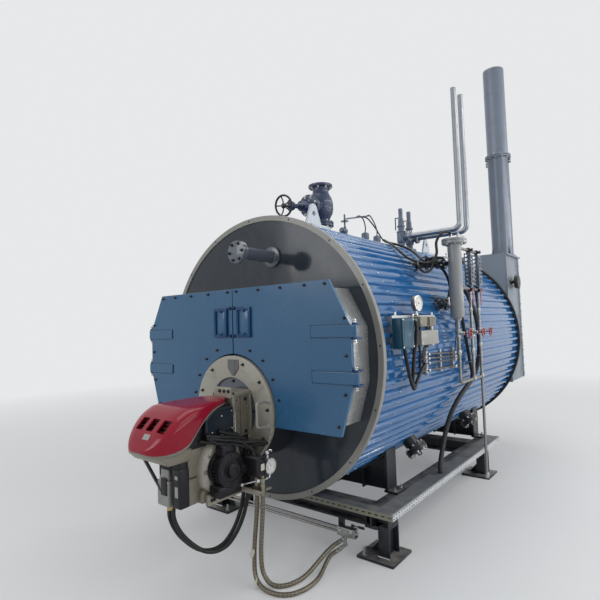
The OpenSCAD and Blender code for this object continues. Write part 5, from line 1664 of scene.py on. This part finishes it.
def make_gauges():
    plates, studs, windows, cocks, levers = [], [], [], [], []
    for y in GAUGE_YS:
        body = slab((COL_X - 0.028, y - 0.03, 1.905), (COL_X + 0.01, y + 0.03, 2.19), 0.003)
        cover = slab((COL_X + 0.0125, y - 0.03, 1.91), (COL_X + 0.03, y + 0.03, 2.185), 0.003)
        slot = slab((COL_X + 0.02, y - 0.01, 1.935), (COL_X + 0.06, y + 0.01, 2.16), 0.003, 1)
        cut(cover, slot)
        plates += [body, cover]
        windows.append(slab((COL_X + 0.014, y - 0.0098, 1.936),
            (COL_X + 0.026, y + 0.0098, 2.159), 0.001, 1))
        for i in range(8):
            z = 1.926 + i * 0.0347
            studs += [(at(COL_X + 0.03, y + s * 0.021, z), X) for s in (-1, 1)]
            studs += [(at(COL_X - 0.008, y - 0.03, z), -Y), (at(COL_X - 0.008, y + 0.03, z), Y)]
        for z, s in ((2.19, 1), (1.905, -1)):
            cocks.append(lathe([(18, 0), (18, 8), (13, 11), (13, 20), (20, 24), (20, 46),
                (14, 50)], at(COL_X, y, z - s * 0.002), Z * s, 20))
            cocks.append(slab((COL_X - 0.018, y - 0.018, z + s * 0.028 - 0.013),
                (COL_X + 0.022, y + 0.018, z + s * 0.028 + 0.013), 0.004))
            cocks.append(lathe([(12, 0), (12, 12), (15, 13), (15, 21), (9, 23)],
                at(COL_X + 0.02, y, z + s * 0.028), X, 16))
        lever = slab((COL_X + 0.034, y - 0.042, 1.738), (COL_X + 0.0395, y - 0.022, 1.872), 0.002)
        eye = slab((COL_X + 0.034, y - 0.04, 1.866), (COL_X + 0.0395, y + 0.008, 1.884), 0.002)
        levers += [lever, eye]
    settle(plates, "gauge_bodies", VALVE, stands_for=("level_gauges",))
    settle(windows, "gauge_glasses", GLASSBAR)
    settle(spread(stud(0.0065, 0.007), studs), "gauge_studs", BRIGHT)
    settle(cocks, "gauge_cocks", BLACK)
    settle(levers, "gauge_levers", RED)


def union_nut(place, axis, r=0.019):
    """A hexagonal union with its two shoulders, centred on its place."""
    put_down()
    bpy.ops.mesh.primitive_cylinder_add(vertices=6, radius=r, depth=r * 1.1, location=(0, 0, 0))
    nut = ease(fix_place(bpy.context.object), r * 0.08, 2)
    parts = [nut]
    for s in (1, -1):
        parts.append(lathe([(r * 0.8, 0), (r * 0.8, r * 0.9), (r * 0.66, r * 1.15)],
            Vector((0, 0, 0)), Z * s, 20, per_metre=1))
    one = joined(*parts)
    return aim(one, place, axis)


def make_gauge_pipes():
    r = 0.012
    g1, g2 = GAUGE_YS
    pipes = [pipe([at(COL_X, COL_Y, 1.614), at(COL_X, COL_Y, 1.11), at(COL_X, g2 - 0.002, 1.11)],
        r, 0.045, 20), pipe([at(COL_X, g1, 1.862), at(COL_X, g1, 1.115)], r, 0.02, 20),
        pipe([at(COL_X, g2, 1.862), at(COL_X, g2, 0.235)], r, 0.02, 20),
        pipe([at(COL_X, COL_Y + 0.05, 2.215), at(COL_X, g2 + 0.012, 2.215)], r, 0.02, 20),
        pipe([at(COL_X, COL_Y + 0.05, 1.88), at(COL_X, g2 + 0.012, 1.88)], r, 0.02, 20)]
    settle(pipes, "gauge_pipe_runs", PIPE, stands_for=("gauge_pipes",))
    nuts = [union_nut(at(COL_X, COL_Y, 1.352), Z), union_nut(at(COL_X, g1, 1.348), Z),
        union_nut(at(COL_X, g2, 1.39), Z), union_nut(at(COL_X, g1, 1.7), Z, 0.017),
        union_nut(at(COL_X, g2, 1.7), Z, 0.017), union_nut(at(COL_X, COL_Y + 0.09, 2.215), Y),
        union_nut(at(COL_X, COL_Y + 0.09, 1.88), Y), union_nut(at(COL_X, g2, 0.24), Z, 0.021)]
    tees = [lathe([(17, -26), (17.5, -24), (17.5, 24), (17, 26)], at(COL_X, g, 1.11), Y, 20)
        for g in GAUGE_YS]
    tees += [lathe([(17, 0), (17, 26)], at(COL_X, g, 1.11), Z, 20) for g in GAUGE_YS]
    settle(joined(*nuts, *tees), "pipe_unions", STEEL)
    bodies = []
    for y in (COL_Y, *GAUGE_YS):
        bodies.append(lathe([(14, -34), (21, -32), (21, -20), (18, -17), (18, 17), (21, 20),
            (21, 32), (14, 33)], at(COL_X, y, TAP_Z), Z, 24))
        bodies.append(lathe([(16.5, 0), (16.5, 30), (14.5, 32), (14.5, 46), (7.5, 50)],
            at(COL_X, y, TAP_Z), X, 20))
    settle(bodies, "drain_valve_bodies", STEEL)
    for i, y in enumerate((COL_Y, *GAUGE_YS), 1):
        wheel = spoked_wheel(0.036, 0.0048, at(COL_X + 0.095, y, TAP_Z), X, 4, 0.005, 36)
        stem = lathe([(5.8, -69), (6, -67), (6, 6), (4, 10.8)], at(COL_X + 0.095, y, TAP_Z), X, 14)
        settle(joined(wheel, stem), f"drain_wheel_rim_{i}", RED, f"drain_wheel_{i}",
            (f"drain_wheel_{i}",))
    clamps = [slab((COL_X - 0.075, y - 0.014, z - 0.012), (COL_X + 0.015, y + 0.014, z - 0.006),
        0.002, 1) for y, z in ((g2, 1.3), (g1, 1.26))]
    settle(clamps, "pipe_clamps", STEEL)


def make_column_leads():
    routes = [
        ([(0.258, 1.553, 2.433), (0.3, 1.53, 2.404), (0.38, 1.42, 2.375), (0.5, 1.26, 2.318),
            (0.62, 1.13, 2.245), (0.74, 1.05, 2.155), (0.83, 1.01, 2.11), (0.92, 0.985, 2.08),
            (0.98, 0.985, 2.085), (1.01, 1.02, 2.15), (1.0, 1.05, 2.25), (1.04, 1.07, 2.318),
            (1.078, 1.13, 2.33), (1.08, 1.15, 2.3)], 0.011),
        ([(0.262, 1.556, CROWN), (0.31, 1.575, 2.4), (0.4, 1.58, 2.368), (0.52, 1.55, 2.312),
            (0.64, 1.46, 2.235), (0.77, 1.3, 2.15), (0.88, 1.15, 2.13), (0.97, 1.06, 2.125),
            (1.03, 1.09, 2.12)], 0.012),
        ([(0.885, 1.075, 2.15), (0.94, 1.1, 2.1), (0.99, 1.15, 2.05), (1.01, 1.21, 1.99),
            (1.02, 1.25, 1.9), (1.02, 1.215, 1.82), (1.02, 1.19, 1.795)], 0.012),
        ([(0.86, 1.0, 2.095), (0.9, 0.9, 2.07), (0.93, 0.86, 2.03), (0.95, 0.92, 2.0),
            (0.96, 1.02, 2.03), (0.955, 1.08, 2.09)], 0.01),
        ([(1.075, 1.25, 1.98), (1.085, 1.275, 1.86), (1.075, 1.31, 1.74), (1.068, 1.37, 1.62),
            (1.062, 1.43, 1.5), (1.055, 1.5, 1.38), (1.05, 1.56, 1.24), (1.048, 1.605, 1.15),
            (1.03, 1.63, 1.085), (1.012, 1.608, 1.048)], 0.014),
        ([(1.03, 1.84, 1.96), (1.045, 1.83, 1.85), (1.062, 1.812, 1.7), (1.072, 1.8, 1.56),
            (1.073, 1.79, 1.42)], 0.01)]
    settle(joined(*[cable(route, r) for route, r in routes]), "column_leads", RUBBER, angle=60)


# Instruments on the side

def make_instruments():
    rails = []
    for z in (1.462, 1.636):
        rail = slab((1.0345, 0.15, z - 0.022), (1.0395, 0.85, z + 0.022), 0.0015, 1)
        rails.append(rail)
    for y in (0.2, 0.8):
        rails.append(slab((0.975, y - 0.014, 1.445), (1.0345, y + 0.014, 1.655), 0.002, 1))
        rails.append(slab((1.0344, y - 0.014, 1.43), (1.0399, y + 0.014, 1.68), 0.002, 1))
    settle(rails, "instrument_rails", ZINC, stands_for=("instrument_panel",))
    lid = slab((RAIL_X, 0.44, 1.452), (1.098, 0.73, 1.548), 0.003)
    cover = slab((1.0965, 0.437, 1.449), (1.1095, 0.733, 1.551), 0.005, 3)
    settle(joined(lid, cover), "junction_box_case", GREYBOX, stands_for=("junction_box",))
    screws = [(at(1.1095, y, z), X) for y in (0.452, 0.718) for z in (1.464, 1.536)]
    screws += [(at(1.1145, y, z), X) for y in (0.153, 0.301) for z in (1.452, 1.628)]
    left = slab((RAIL_X, 0.415, 1.578), (1.116, 0.525, 1.648), 0.004)
    right = slab((RAIL_X, 0.575, 1.578), (1.1, 0.685, 1.648), 0.004)
    ribs = [slab((1.099, 0.58 + i * 0.022, 1.582), (1.1155, 0.592 + i * 0.022, 1.6445),
        0.002, 1) for i in range(5)]
    mid = slab((RAIL_X, 0.524, 1.59), (1.09, 0.578, 1.636), 0.004)
    settle(joined(left, mid), "pressure_switch_bodies", CAST, stands_for=("pressure_switches",))
    settle(joined(right, *ribs), "pressure_switch_covers", CREAM)
    case = slab((RAIL_X, 0.142, 1.44), (1.106, 0.312, 1.64), 0.004)
    door = slab((1.1055, 0.145, 1.443), (1.1145, 0.309, 1.637), 0.004)
    set_in(door, lambda c, n: n.x > 0.99, (0.014, 0.0), (0.003, -0.002))
    settle(joined(case, door), "teal_box_case", TEAL, stands_for=("teal_box",))
    small = slab((RAIL_X, 0.328, 1.56), (1.1, 0.398, 1.632), 0.004)
    neck = slab((RAIL_X, 0.342, 1.53), (1.08, 0.384, 1.562), 0.003)
    settle(joined(small, neck), "teal_switch", MINT)
    settle(spread(round_pin(0.006, 0.0035), screws), "case_screws", BRIGHT)
    glands = [lathe([(10, 0), (12, 2), (12, 12), (9, 14), (9, 26)], at(1.072, y, z), -Z, 14)
        for y, z in ((0.478, 1.453), (0.58, 1.453), (0.61, 1.453), (0.45, 1.579), (0.5, 1.579),
        (0.62, 1.579), (0.66, 1.579), (0.25, 1.441))]
    settle(glands, "cable_glands", BLACK)
    centre = at(1.0405, 0.502, 1.742)
    turn = Vector((cos(radians(4)), -sin(radians(4)), 0))
    case = lathe([(46, -4.5), (53, -2), (54.5, 2), (54.5, 24)], centre, turn, 56)
    settle(case, "gauge_case", BROWN, stands_for=("pressure_gauge",))
    rim = lathe([(54.5, 23), (56.8, 23.5), (56.8, 31), (54.5, 32.5), (50.5, 32.5),
        (49.5, 29)], centre, turn, 56)
    stem = lathe([(8, 0), (11, 2), (11, 12), (8, 14), (8, 22)], at(1.045, 0.502, 1.672), Z, 16)
    tee = slab((1.036, 0.486, 1.65), (1.06, 0.518, 1.674), 0.004)
    tap = lathe([(7, 0), (7, 20), (10, 22), (10, 30)], at(1.048, 0.486, 1.662), -Y, 14)
    elbow = pipe([at(1.06, 0.416, 1.64), at(1.06, 0.416, 1.662),
        at(1.05, 0.48, 1.662)], 0.008, 0.012, 12)
    settle(joined(rim, stem, tee, tap, elbow), "gauge_rim", BRIGHT)
    face = lathe([(50, 28.5), (50, 29.6)], centre, turn, 48)
    settle(face, "gauge_dial", dial_face("dial_print", centre + turn * 0.03, turn, 0.05))
    needle = block((-0.0012, -0.0006, -0.01), (0.0012, 0.0006, 0.036), 0.0004, 1)
    needle.data.transform(Matrix.Translation(centre + turn * 0.0306) @
        swing(70, "Z") @ swing(-50, "Y"))
    pin = lathe([(4, 29.5), (4, 31.8)], centre, turn, 12)
    settle(joined(needle, pin), "gauge_needle", BLACK)


def make_instrument_pipes():
    leads = [
        ([(1.072, 0.25, 1.43), (1.074, 0.258, 1.38), (1.07, 0.31, 1.25), (1.062, 0.374, 1.17),
            (1.06, 0.4, 1.168), (1.06, 0.45, 1.215), (1.06, 0.52, 1.27), (1.062, 0.585, 1.312)],
            0.0125),
        ([(1.07, 0.36, 1.632), (1.112, 0.352, 1.6), (1.112, 0.342, 1.5), (1.09, 0.35, 1.4),
            (1.066, 0.362, 1.22), (1.06, 0.392, 1.182)], 0.012),
        ([(1.072, 0.478, 1.43), (1.072, 0.484, 1.38), (1.066, 0.492, 1.33), (1.056, 0.505, 1.29),
            (1.05, 0.56, 1.28)], 0.0085)]
    settle(joined(*[cable(route, r) for route, r in leads]), "instrument_leads", RUBBER, angle=60)
    pipes, nuts = [], []
    for i, (z0, z1) in enumerate(((1.377, 1.352), (1.346, 1.322), (1.314, 1.296), (1.262, 1.24))):
        y0 = 0.63 if i < 3 else 0.61
        pipes.append(pipe([at(RACK_X, y0, z0), at(RACK_X, 0.9, (z0 + z1) / 2),
            at(RACK_X, 1.245, z1), at(1.085, 1.262, z1)], 0.0062, 0.02, 12))
        nuts += [union_nut(at(RACK_X, y0 + 0.006, z0), Y, 0.011),
            union_nut(at(RACK_X, 1.215, z1), Y, 0.011)]
    pipes.append(pipe([at(1.06, 0.61, 1.43), at(1.05, 0.612, 1.37),
        at(RACK_X, 0.616, 1.236)], 0.007, 0.02, 12))
    pipes.append(pipe([at(1.06, 0.58, 1.43), at(1.05, 0.588, 1.38),
        at(RACK_X, 0.6, 1.3)], 0.006, 0.02, 12))
    pipes.append(pipe([at(1.062, 1.235, 1.615), at(1.062, 1.225, 1.5),
        at(1.056, 1.205, 1.335)], 0.006, 0.02, 12))
    pipes.append(pipe([at(1.04, 0.38, 1.232), at(1.046, 0.5, 1.252),
        at(RACK_X, 0.612, 1.262)], 0.005, 0.02, 10))
    settle(pipes, "instrument_pipes", DIMPIPE)
    blocks = [slab((1.036, 0.604, z - 0.013), (1.062, 0.634, z + 0.013), 0.003)
        for z in (1.377, 1.346, 1.314, 1.262)]
    blocks += [slab((1.036, 1.196, z - 0.012), (1.06, 1.222, z + 0.012), 0.003)
        for z in (1.352, 1.322, 1.296, 1.24)]
    taps = [lathe([(6, 0), (6, 14), (10, 15), (10, 21), (6, 23)], at(1.062, 0.619, z), X, 14)
        for z in (1.377, 1.346, 1.314, 1.262)]
    settle(joined(*nuts, *blocks, *taps), "instrument_unions", BRIGHT)
    brackets = [slab((1.012, y, 1.225), (1.0415, y + 0.022, 1.4), 0.002, 1)
        for y in (0.66, 0.92, 1.18)]
    settle(brackets, "pipe_rack", STEEL)


# Flue box, chimney and damper drive

def make_flue_box():
    y0, y1 = 3.386, 4.06
    body = slab((-0.91, y0, 0.85), (0.91, y1, 2.4005), 0.004)
    parts = [body]
    cap = slab((-0.935, y0 + 0.04, 2.4), (0.935, y1 + 0.025, 2.4195), 0.003)
    parts.append(cap)
    for s in (1, -1):
        parts.append(slab((s * 0.9095, y0 + 0.002, 0.852),
            (s * 0.9345, y0 + 0.0085, 2.392), 0.001, 1))
        parts.append(slab((s * 0.9095, y1 - 0.05, 0.852), (s * 0.916, y1 - 0.002, 2.398), 0.001, 1))
        for z in (1.25, 1.65, 2.02):
            parts.append(slab((s * 0.9095, y0 + 0.03, z),
                (s * 0.93, y1 - 0.004, z + 0.006), 0.001, 1))
    for x in (-0.45, 0.0, 0.45):
        parts.append(slab((x - 0.003, y1 - 0.001, 0.852), (x + 0.003, y1 + 0.021, 2.398), 0.001, 1))
    door = slab((-0.32, y1 - 0.001, 1.02), (0.32, y1 + 0.012, 1.6), 0)
    for s in (1, -1):
        slice_off(door, at(s * 0.32, y1, 1.54), (s * 0.7, 0, 0.7))
        slice_off(door, at(s * 0.32, y1, 1.08), (s * 0.7, 0, -0.7))
    parts.append(ease(door, 0.003))
    settle(parts, "flue_box_case", FLUE, stands_for=("flue_box",))
    bolts = [(at(s * 0.916, y1 - 0.026, 0.9 + 0.1 * i), X * s) for s in (1, -1) for i in range(15)]
    bolts += [(at(x, y1 + 0.012, z), Y) for x in (-0.29, -0.15, 0.0, 0.15, 0.29)
        for z in (1.05, 1.57)]
    bolts += [(at(x, y1 + 0.012, z), Y) for x in (-0.3, 0.3) for z in (1.15, 1.31, 1.47)]
    bolts += [(at(-0.88 + 0.11 * i, y1 + 0.025 - 0.02, 2.4195), Z) for i in range(17)]
    settle(spread(hex_bolt(0.0085, 0.006), bolts), "flue_box_bolts", STEEL)


def make_stack():
    x, y, foot, joint, top = 0.77, 3.9, 2.42, 3.74, 4.95
    r = 0.13
    tall = top - foot
    j = joint - foot
    wall = lathe([(r, 0.0), (0.159, 0.0006), (0.16, 0.002), (0.16, 0.0105), (0.158, 0.012),
        (r + 0.003, 0.0122), (r, 0.016), (r, j - 0.01), (r + 0.004, j - 0.001), (0.158, j),
        (0.16, j + 0.002), (0.16, j + 0.018), (0.152, j + 0.0185), (0.152, j + 0.0215),
        (0.16, j + 0.022), (0.16, j + 0.038), (0.158, j + 0.04), (r + 0.004, j + 0.041),
        (r, j + 0.05), (r, tall - 0.03), (r, tall - 0.002), (r - 0.0008, tall - 0.0002),
        (r - 0.0032, tall - 0.0002), (r - 0.004, tall - 0.002), (r - 0.004, 0.3)],
        at(x, y, foot), Z, 72, per_metre=1)
    seams = [lathe([(r - 0.0006, 0), (r + 0.0012, 0.0015), (r + 0.0012, 0.0045),
        (r - 0.0006, 0.006)], at(x, y, z), Z, 72, per_metre=1) for z in (2.95, 3.35, 4.2, 4.6)]
    seam = weld([at(x - r * 0.55, y - r * 0.835, 2.44),
        at(x - r * 0.55, y - r * 0.835, 3.735)], 0.0022)
    settle(joined(wall, *seams, seam), "stack_wall", STACK, stands_for=("stack",))
    bolts = circle_of(at(x, y, 2.432), Z, 0.147, 12, 10)
    bolts += circle_of(at(x, y, joint + 0.04), Z, 0.147, 12, 10)
    bolts += circle_of(at(x, y, joint), -Z, 0.147, 12, 10)
    settle(spread(stud(0.0075, 0.008), bolts), "stack_bolts", STEEL)
    lugs = []
    for a in (-140, -40, 50, 130):
        gusset = block((r - 0.002, -0.004, 0), (0.158, 0.004, 0.12), 0)
        slice_off(gusset, (0.158, 0, 0.01), (0.97, 0, 0.24))
        gusset.data.transform(Matrix.Translation(at(x, y, 2.432)) @ swing(a, "Z"))
        lugs.append(ease(gusset, 0.001, 1))
    for s in (1, -1):
        lug = slab((x + s * 0.128, y - 0.004, 3.66), (x + s * 0.158, y + 0.004, 3.72), 0.003)
        hole = lathe([(8, 0), (8, 40)], at(x + s * 0.143, y - 0.02, 3.69), Y, 16)
        lugs.append(cut(lug, hole))
    settle(lugs, "stack_gussets", STACK)


def make_damper():
    y, z = 3.686, 2.07
    shaft = lathe([(36, 0), (36, 6), (20, 8), (20, 42)], at(0.91, y, z), X, 32)
    drum = lathe([(50, 40), (78, 41), (85, 46), (85, 78), (80, 86), (60, 89.5),
        (30, 89.8)], at(0.91, y, z), X, 56)
    arm = slab((0.922, y - 0.12, z - 0.012), (0.93, y + 0.01, z + 0.012), 0.003)
    settle(joined(shaft, drum, arm), "damper_drive_case", BLACK, stands_for=("damper_drive",))
    link = pipe([at(0.933, y - 0.108, z), at(0.933, y - 0.26, z + 0.03)], 0.006, 0.01, 10)
    lug = slab((0.909, y - 0.275, z + 0.012), (0.926, y - 0.245, z + 0.048), 0.003)
    settle(joined(link, lug), "damper_link", STEEL)
    bolts = circle_of(at(0.9985, y, z), X, 0.062, 6, 15)
    settle(spread(hex_bolt(0.006, 0.0008, False), bolts), "damper_bolts", BRIGHT)


# Oil pipes under the front beam

def make_oil_pipes():
    runs = [pipe([at(-0.699, 0.27, z), at(0.5, 0.27, z)], 0.01, 0.02, 16) for z in (0.124, 0.152)]
    settle(runs, "oil_pipe_runs", PIPE, stands_for=("oil_pipes",))
    body = slab((0.48, 0.25, 0.106), (0.63, 0.301, 0.168), 0.004)
    set_in(body, lambda c, n: n.y < -0.99, (0.006, 0.0), (0.002, -0.002))
    hangers = [slab((0.46, 0.301, 0.11), (0.5, 0.335, 0.2048), 0.003),
        slab((-0.47, 0.252, 0.106), (-0.43, 0.335, 0.168), 0.003),
        slab((-0.47, 0.301, 0.11), (-0.43, 0.335, 0.2048), 0.003)]
    settle(hangers, "oil_pipe_hangers", BLACK)
    arms = []
    for z, y in ((0.112, 0.14), (0.062, 0.11)):
        arms.append(lathe([(0.013, 0), (0.015, 0.002), (0.015, 0.02), (0.0125, 0.022),
            (0.0125, 0.05), (0.0165, 0.052), (0.0165, 0.07), (0.0125, 0.072), (0.0125, 0.251 - y)],
            at(0.56, y, z), Y, 24, per_metre=1))
        nut = union_nut(at(0.56, y + 0.012, z), Y, 0.017)
        arms.append(nut)
    drop = lathe([(13, 0), (13, 62)], at(0.56, 0.233, 0.06), Z, 20)
    settle(joined(body, *arms, drop), "oil_manifold", STEEL)
    plugs = [(at(0.63, 0.275, 0.137), X), (at(0.51, 0.25, 0.15), -Y), (at(0.6, 0.25, 0.15), -Y)]
    settle(spread(hex_bolt(0.01, 0.01), plugs), "manifold_plugs", BRIGHT)
    stem = lathe([(9, 0), (9, 18), (12, 20), (12, 28), (6, 30)], at(0.6, 0.275, 0.166), Z, 16)
    lever = slab((0.596, 0.268, 0.188), (0.662, 0.282, 0.1915), 0.0015, 1)
    grip = lathe([(7, 0), (9, 4), (9, 44), (6, 48)], at(0.648, 0.275, 0.19), X, 14)
    settle(joined(stem, lever, grip), "oil_lever_valve", BLACK)


make_column()
make_column_branches()
make_gauges()
make_gauge_pipes()
make_column_leads()
make_instruments()
make_instrument_pipes()
make_flue_box()
make_stack()
make_damper()
make_oil_pipes()


# Finishes on the pieces that keep their own solids

for node, finish in (("smokebox", SHEET), ("front_plate", SLATE), ("rear_plate", SLATE),
        ("burner_throat", BLACK), ("saddles", BLACK)):
    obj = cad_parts[node]
    obj.data.materials.clear()
    obj.data.materials.append(finish)


# Studio: pale floor, soft lamps, pale surroundings

def seen_directly(tree):
    """1 for what the camera, mirrors and glass see, 0 for light that only bounces."""
    seen = tree.nodes.new("ShaderNodeLightPath")
    rays = tree.nodes.new("ShaderNodeMath")
    rays.operation = "MAXIMUM"
    tree.links.new(seen.outputs["Is Camera Ray"], rays.inputs[0])
    both = tree.nodes.new("ShaderNodeMath")
    both.operation = "MAXIMUM"
    tree.links.new(seen.outputs["Is Glossy Ray"], both.inputs[0])
    tree.links.new(seen.outputs["Is Transmission Ray"], both.inputs[1])
    tree.links.new(both.outputs[0], rays.inputs[1])
    return rays.outputs[0]


PALE = (0.8, 0.81, 0.82, 1)
GLOW_FROM, GLOW_TO = 2.5, 11.0
put_down()
bpy.ops.mesh.primitive_plane_add(size=120, location=(0, 0, 0))
ground = bpy.context.object
ground.name = "studio_floor"
paper = Finish("studio_floor", 0.9)
paper.colour(paper.blend(paper.noise(0.6, 4), (0.7, 0.7, 0.695), (0.75, 0.75, 0.745)))
glow = paper.add("ShaderNodeEmission")
glow.inputs[0].default_value = PALE
away = paper.add("ShaderNodeVectorMath", operation="LENGTH")
paper.link(paper.coord.outputs["Object"], away.inputs[0])
share = paper.times(seen_directly(paper.tree), paper.span(away.outputs["Value"],
    GLOW_FROM, GLOW_TO, 0.2, 1.0))
mixed = paper.add("ShaderNodeMixShader")
paper.link(share, mixed.inputs[0])
paper.link(paper.skin.outputs[0], mixed.inputs[1])
paper.link(glow.outputs[0], mixed.inputs[2])
paper.link(mixed.outputs[0], next(n for n in paper.tree.nodes
    if n.type == "OUTPUT_MATERIAL").inputs[0])
ground.data.materials.append(paper.mat)


def soft_lamp(name, place, target, power, wide, tall, tint=(1, 1, 1)):
    """A soft box that looks at its target."""
    bpy.ops.object.light_add(type="AREA", location=place)
    lamp = bpy.context.object
    lamp.name = name
    lamp.data.shape = "RECTANGLE"
    lamp.data.size, lamp.data.size_y = wide, tall
    lamp.data.energy = power
    lamp.data.color = tint
    lamp.rotation_euler = (Vector(target) - Vector(place)).to_track_quat("-Z", "Y").to_euler()


soft_lamp("right_window_low", (6.4, 2.2, 1.5), (0.9, 0.9, 1.3), 70, 9, 0.36)
soft_lamp("right_window", (6.2, 2.0, 3.4), (0.9, 0.6, 1.6), 110, 9, 0.45)
soft_lamp("right_window_high", (4.6, 1.8, 5.6), (0.6, 0.6, 1.8), 100, 9, 0.45)
soft_lamp("roof_light", (-0.6, 0.5, 8.2), (0.0, 0.4, 1.2), 190, 8.0, 4.0, (1.0, 0.99, 0.97))
soft_lamp("front_fill", (-2.5, -7.5, 4.0), (0, -1.0, 1.2), 130, 4.0, 3.0, (0.97, 0.98, 1.0))

world = bpy.data.worlds.new("studio_surroundings")
scene.world = world
world.use_nodes = True
tree = world.node_tree
tree.nodes.clear()
lit = tree.nodes.new("ShaderNodeBackground")
lit.inputs[0].default_value = (0.93, 0.96, 1.0, 1)
lit.inputs[1].default_value = 0.42
pale = tree.nodes.new("ShaderNodeBackground")
pale.inputs[0].default_value = PALE
pale.inputs[1].default_value = 1.0
choice = tree.nodes.new("ShaderNodeMixShader")
tree.links.new(seen_directly(tree), choice.inputs[0])
tree.links.new(lit.outputs[0], choice.inputs[1])
tree.links.new(pale.outputs[0], choice.inputs[2])
sky = tree.nodes.new("ShaderNodeOutputWorld")
tree.links.new(choice.outputs[0], sky.inputs[0])
scene.view_settings.view_transform = "Standard"
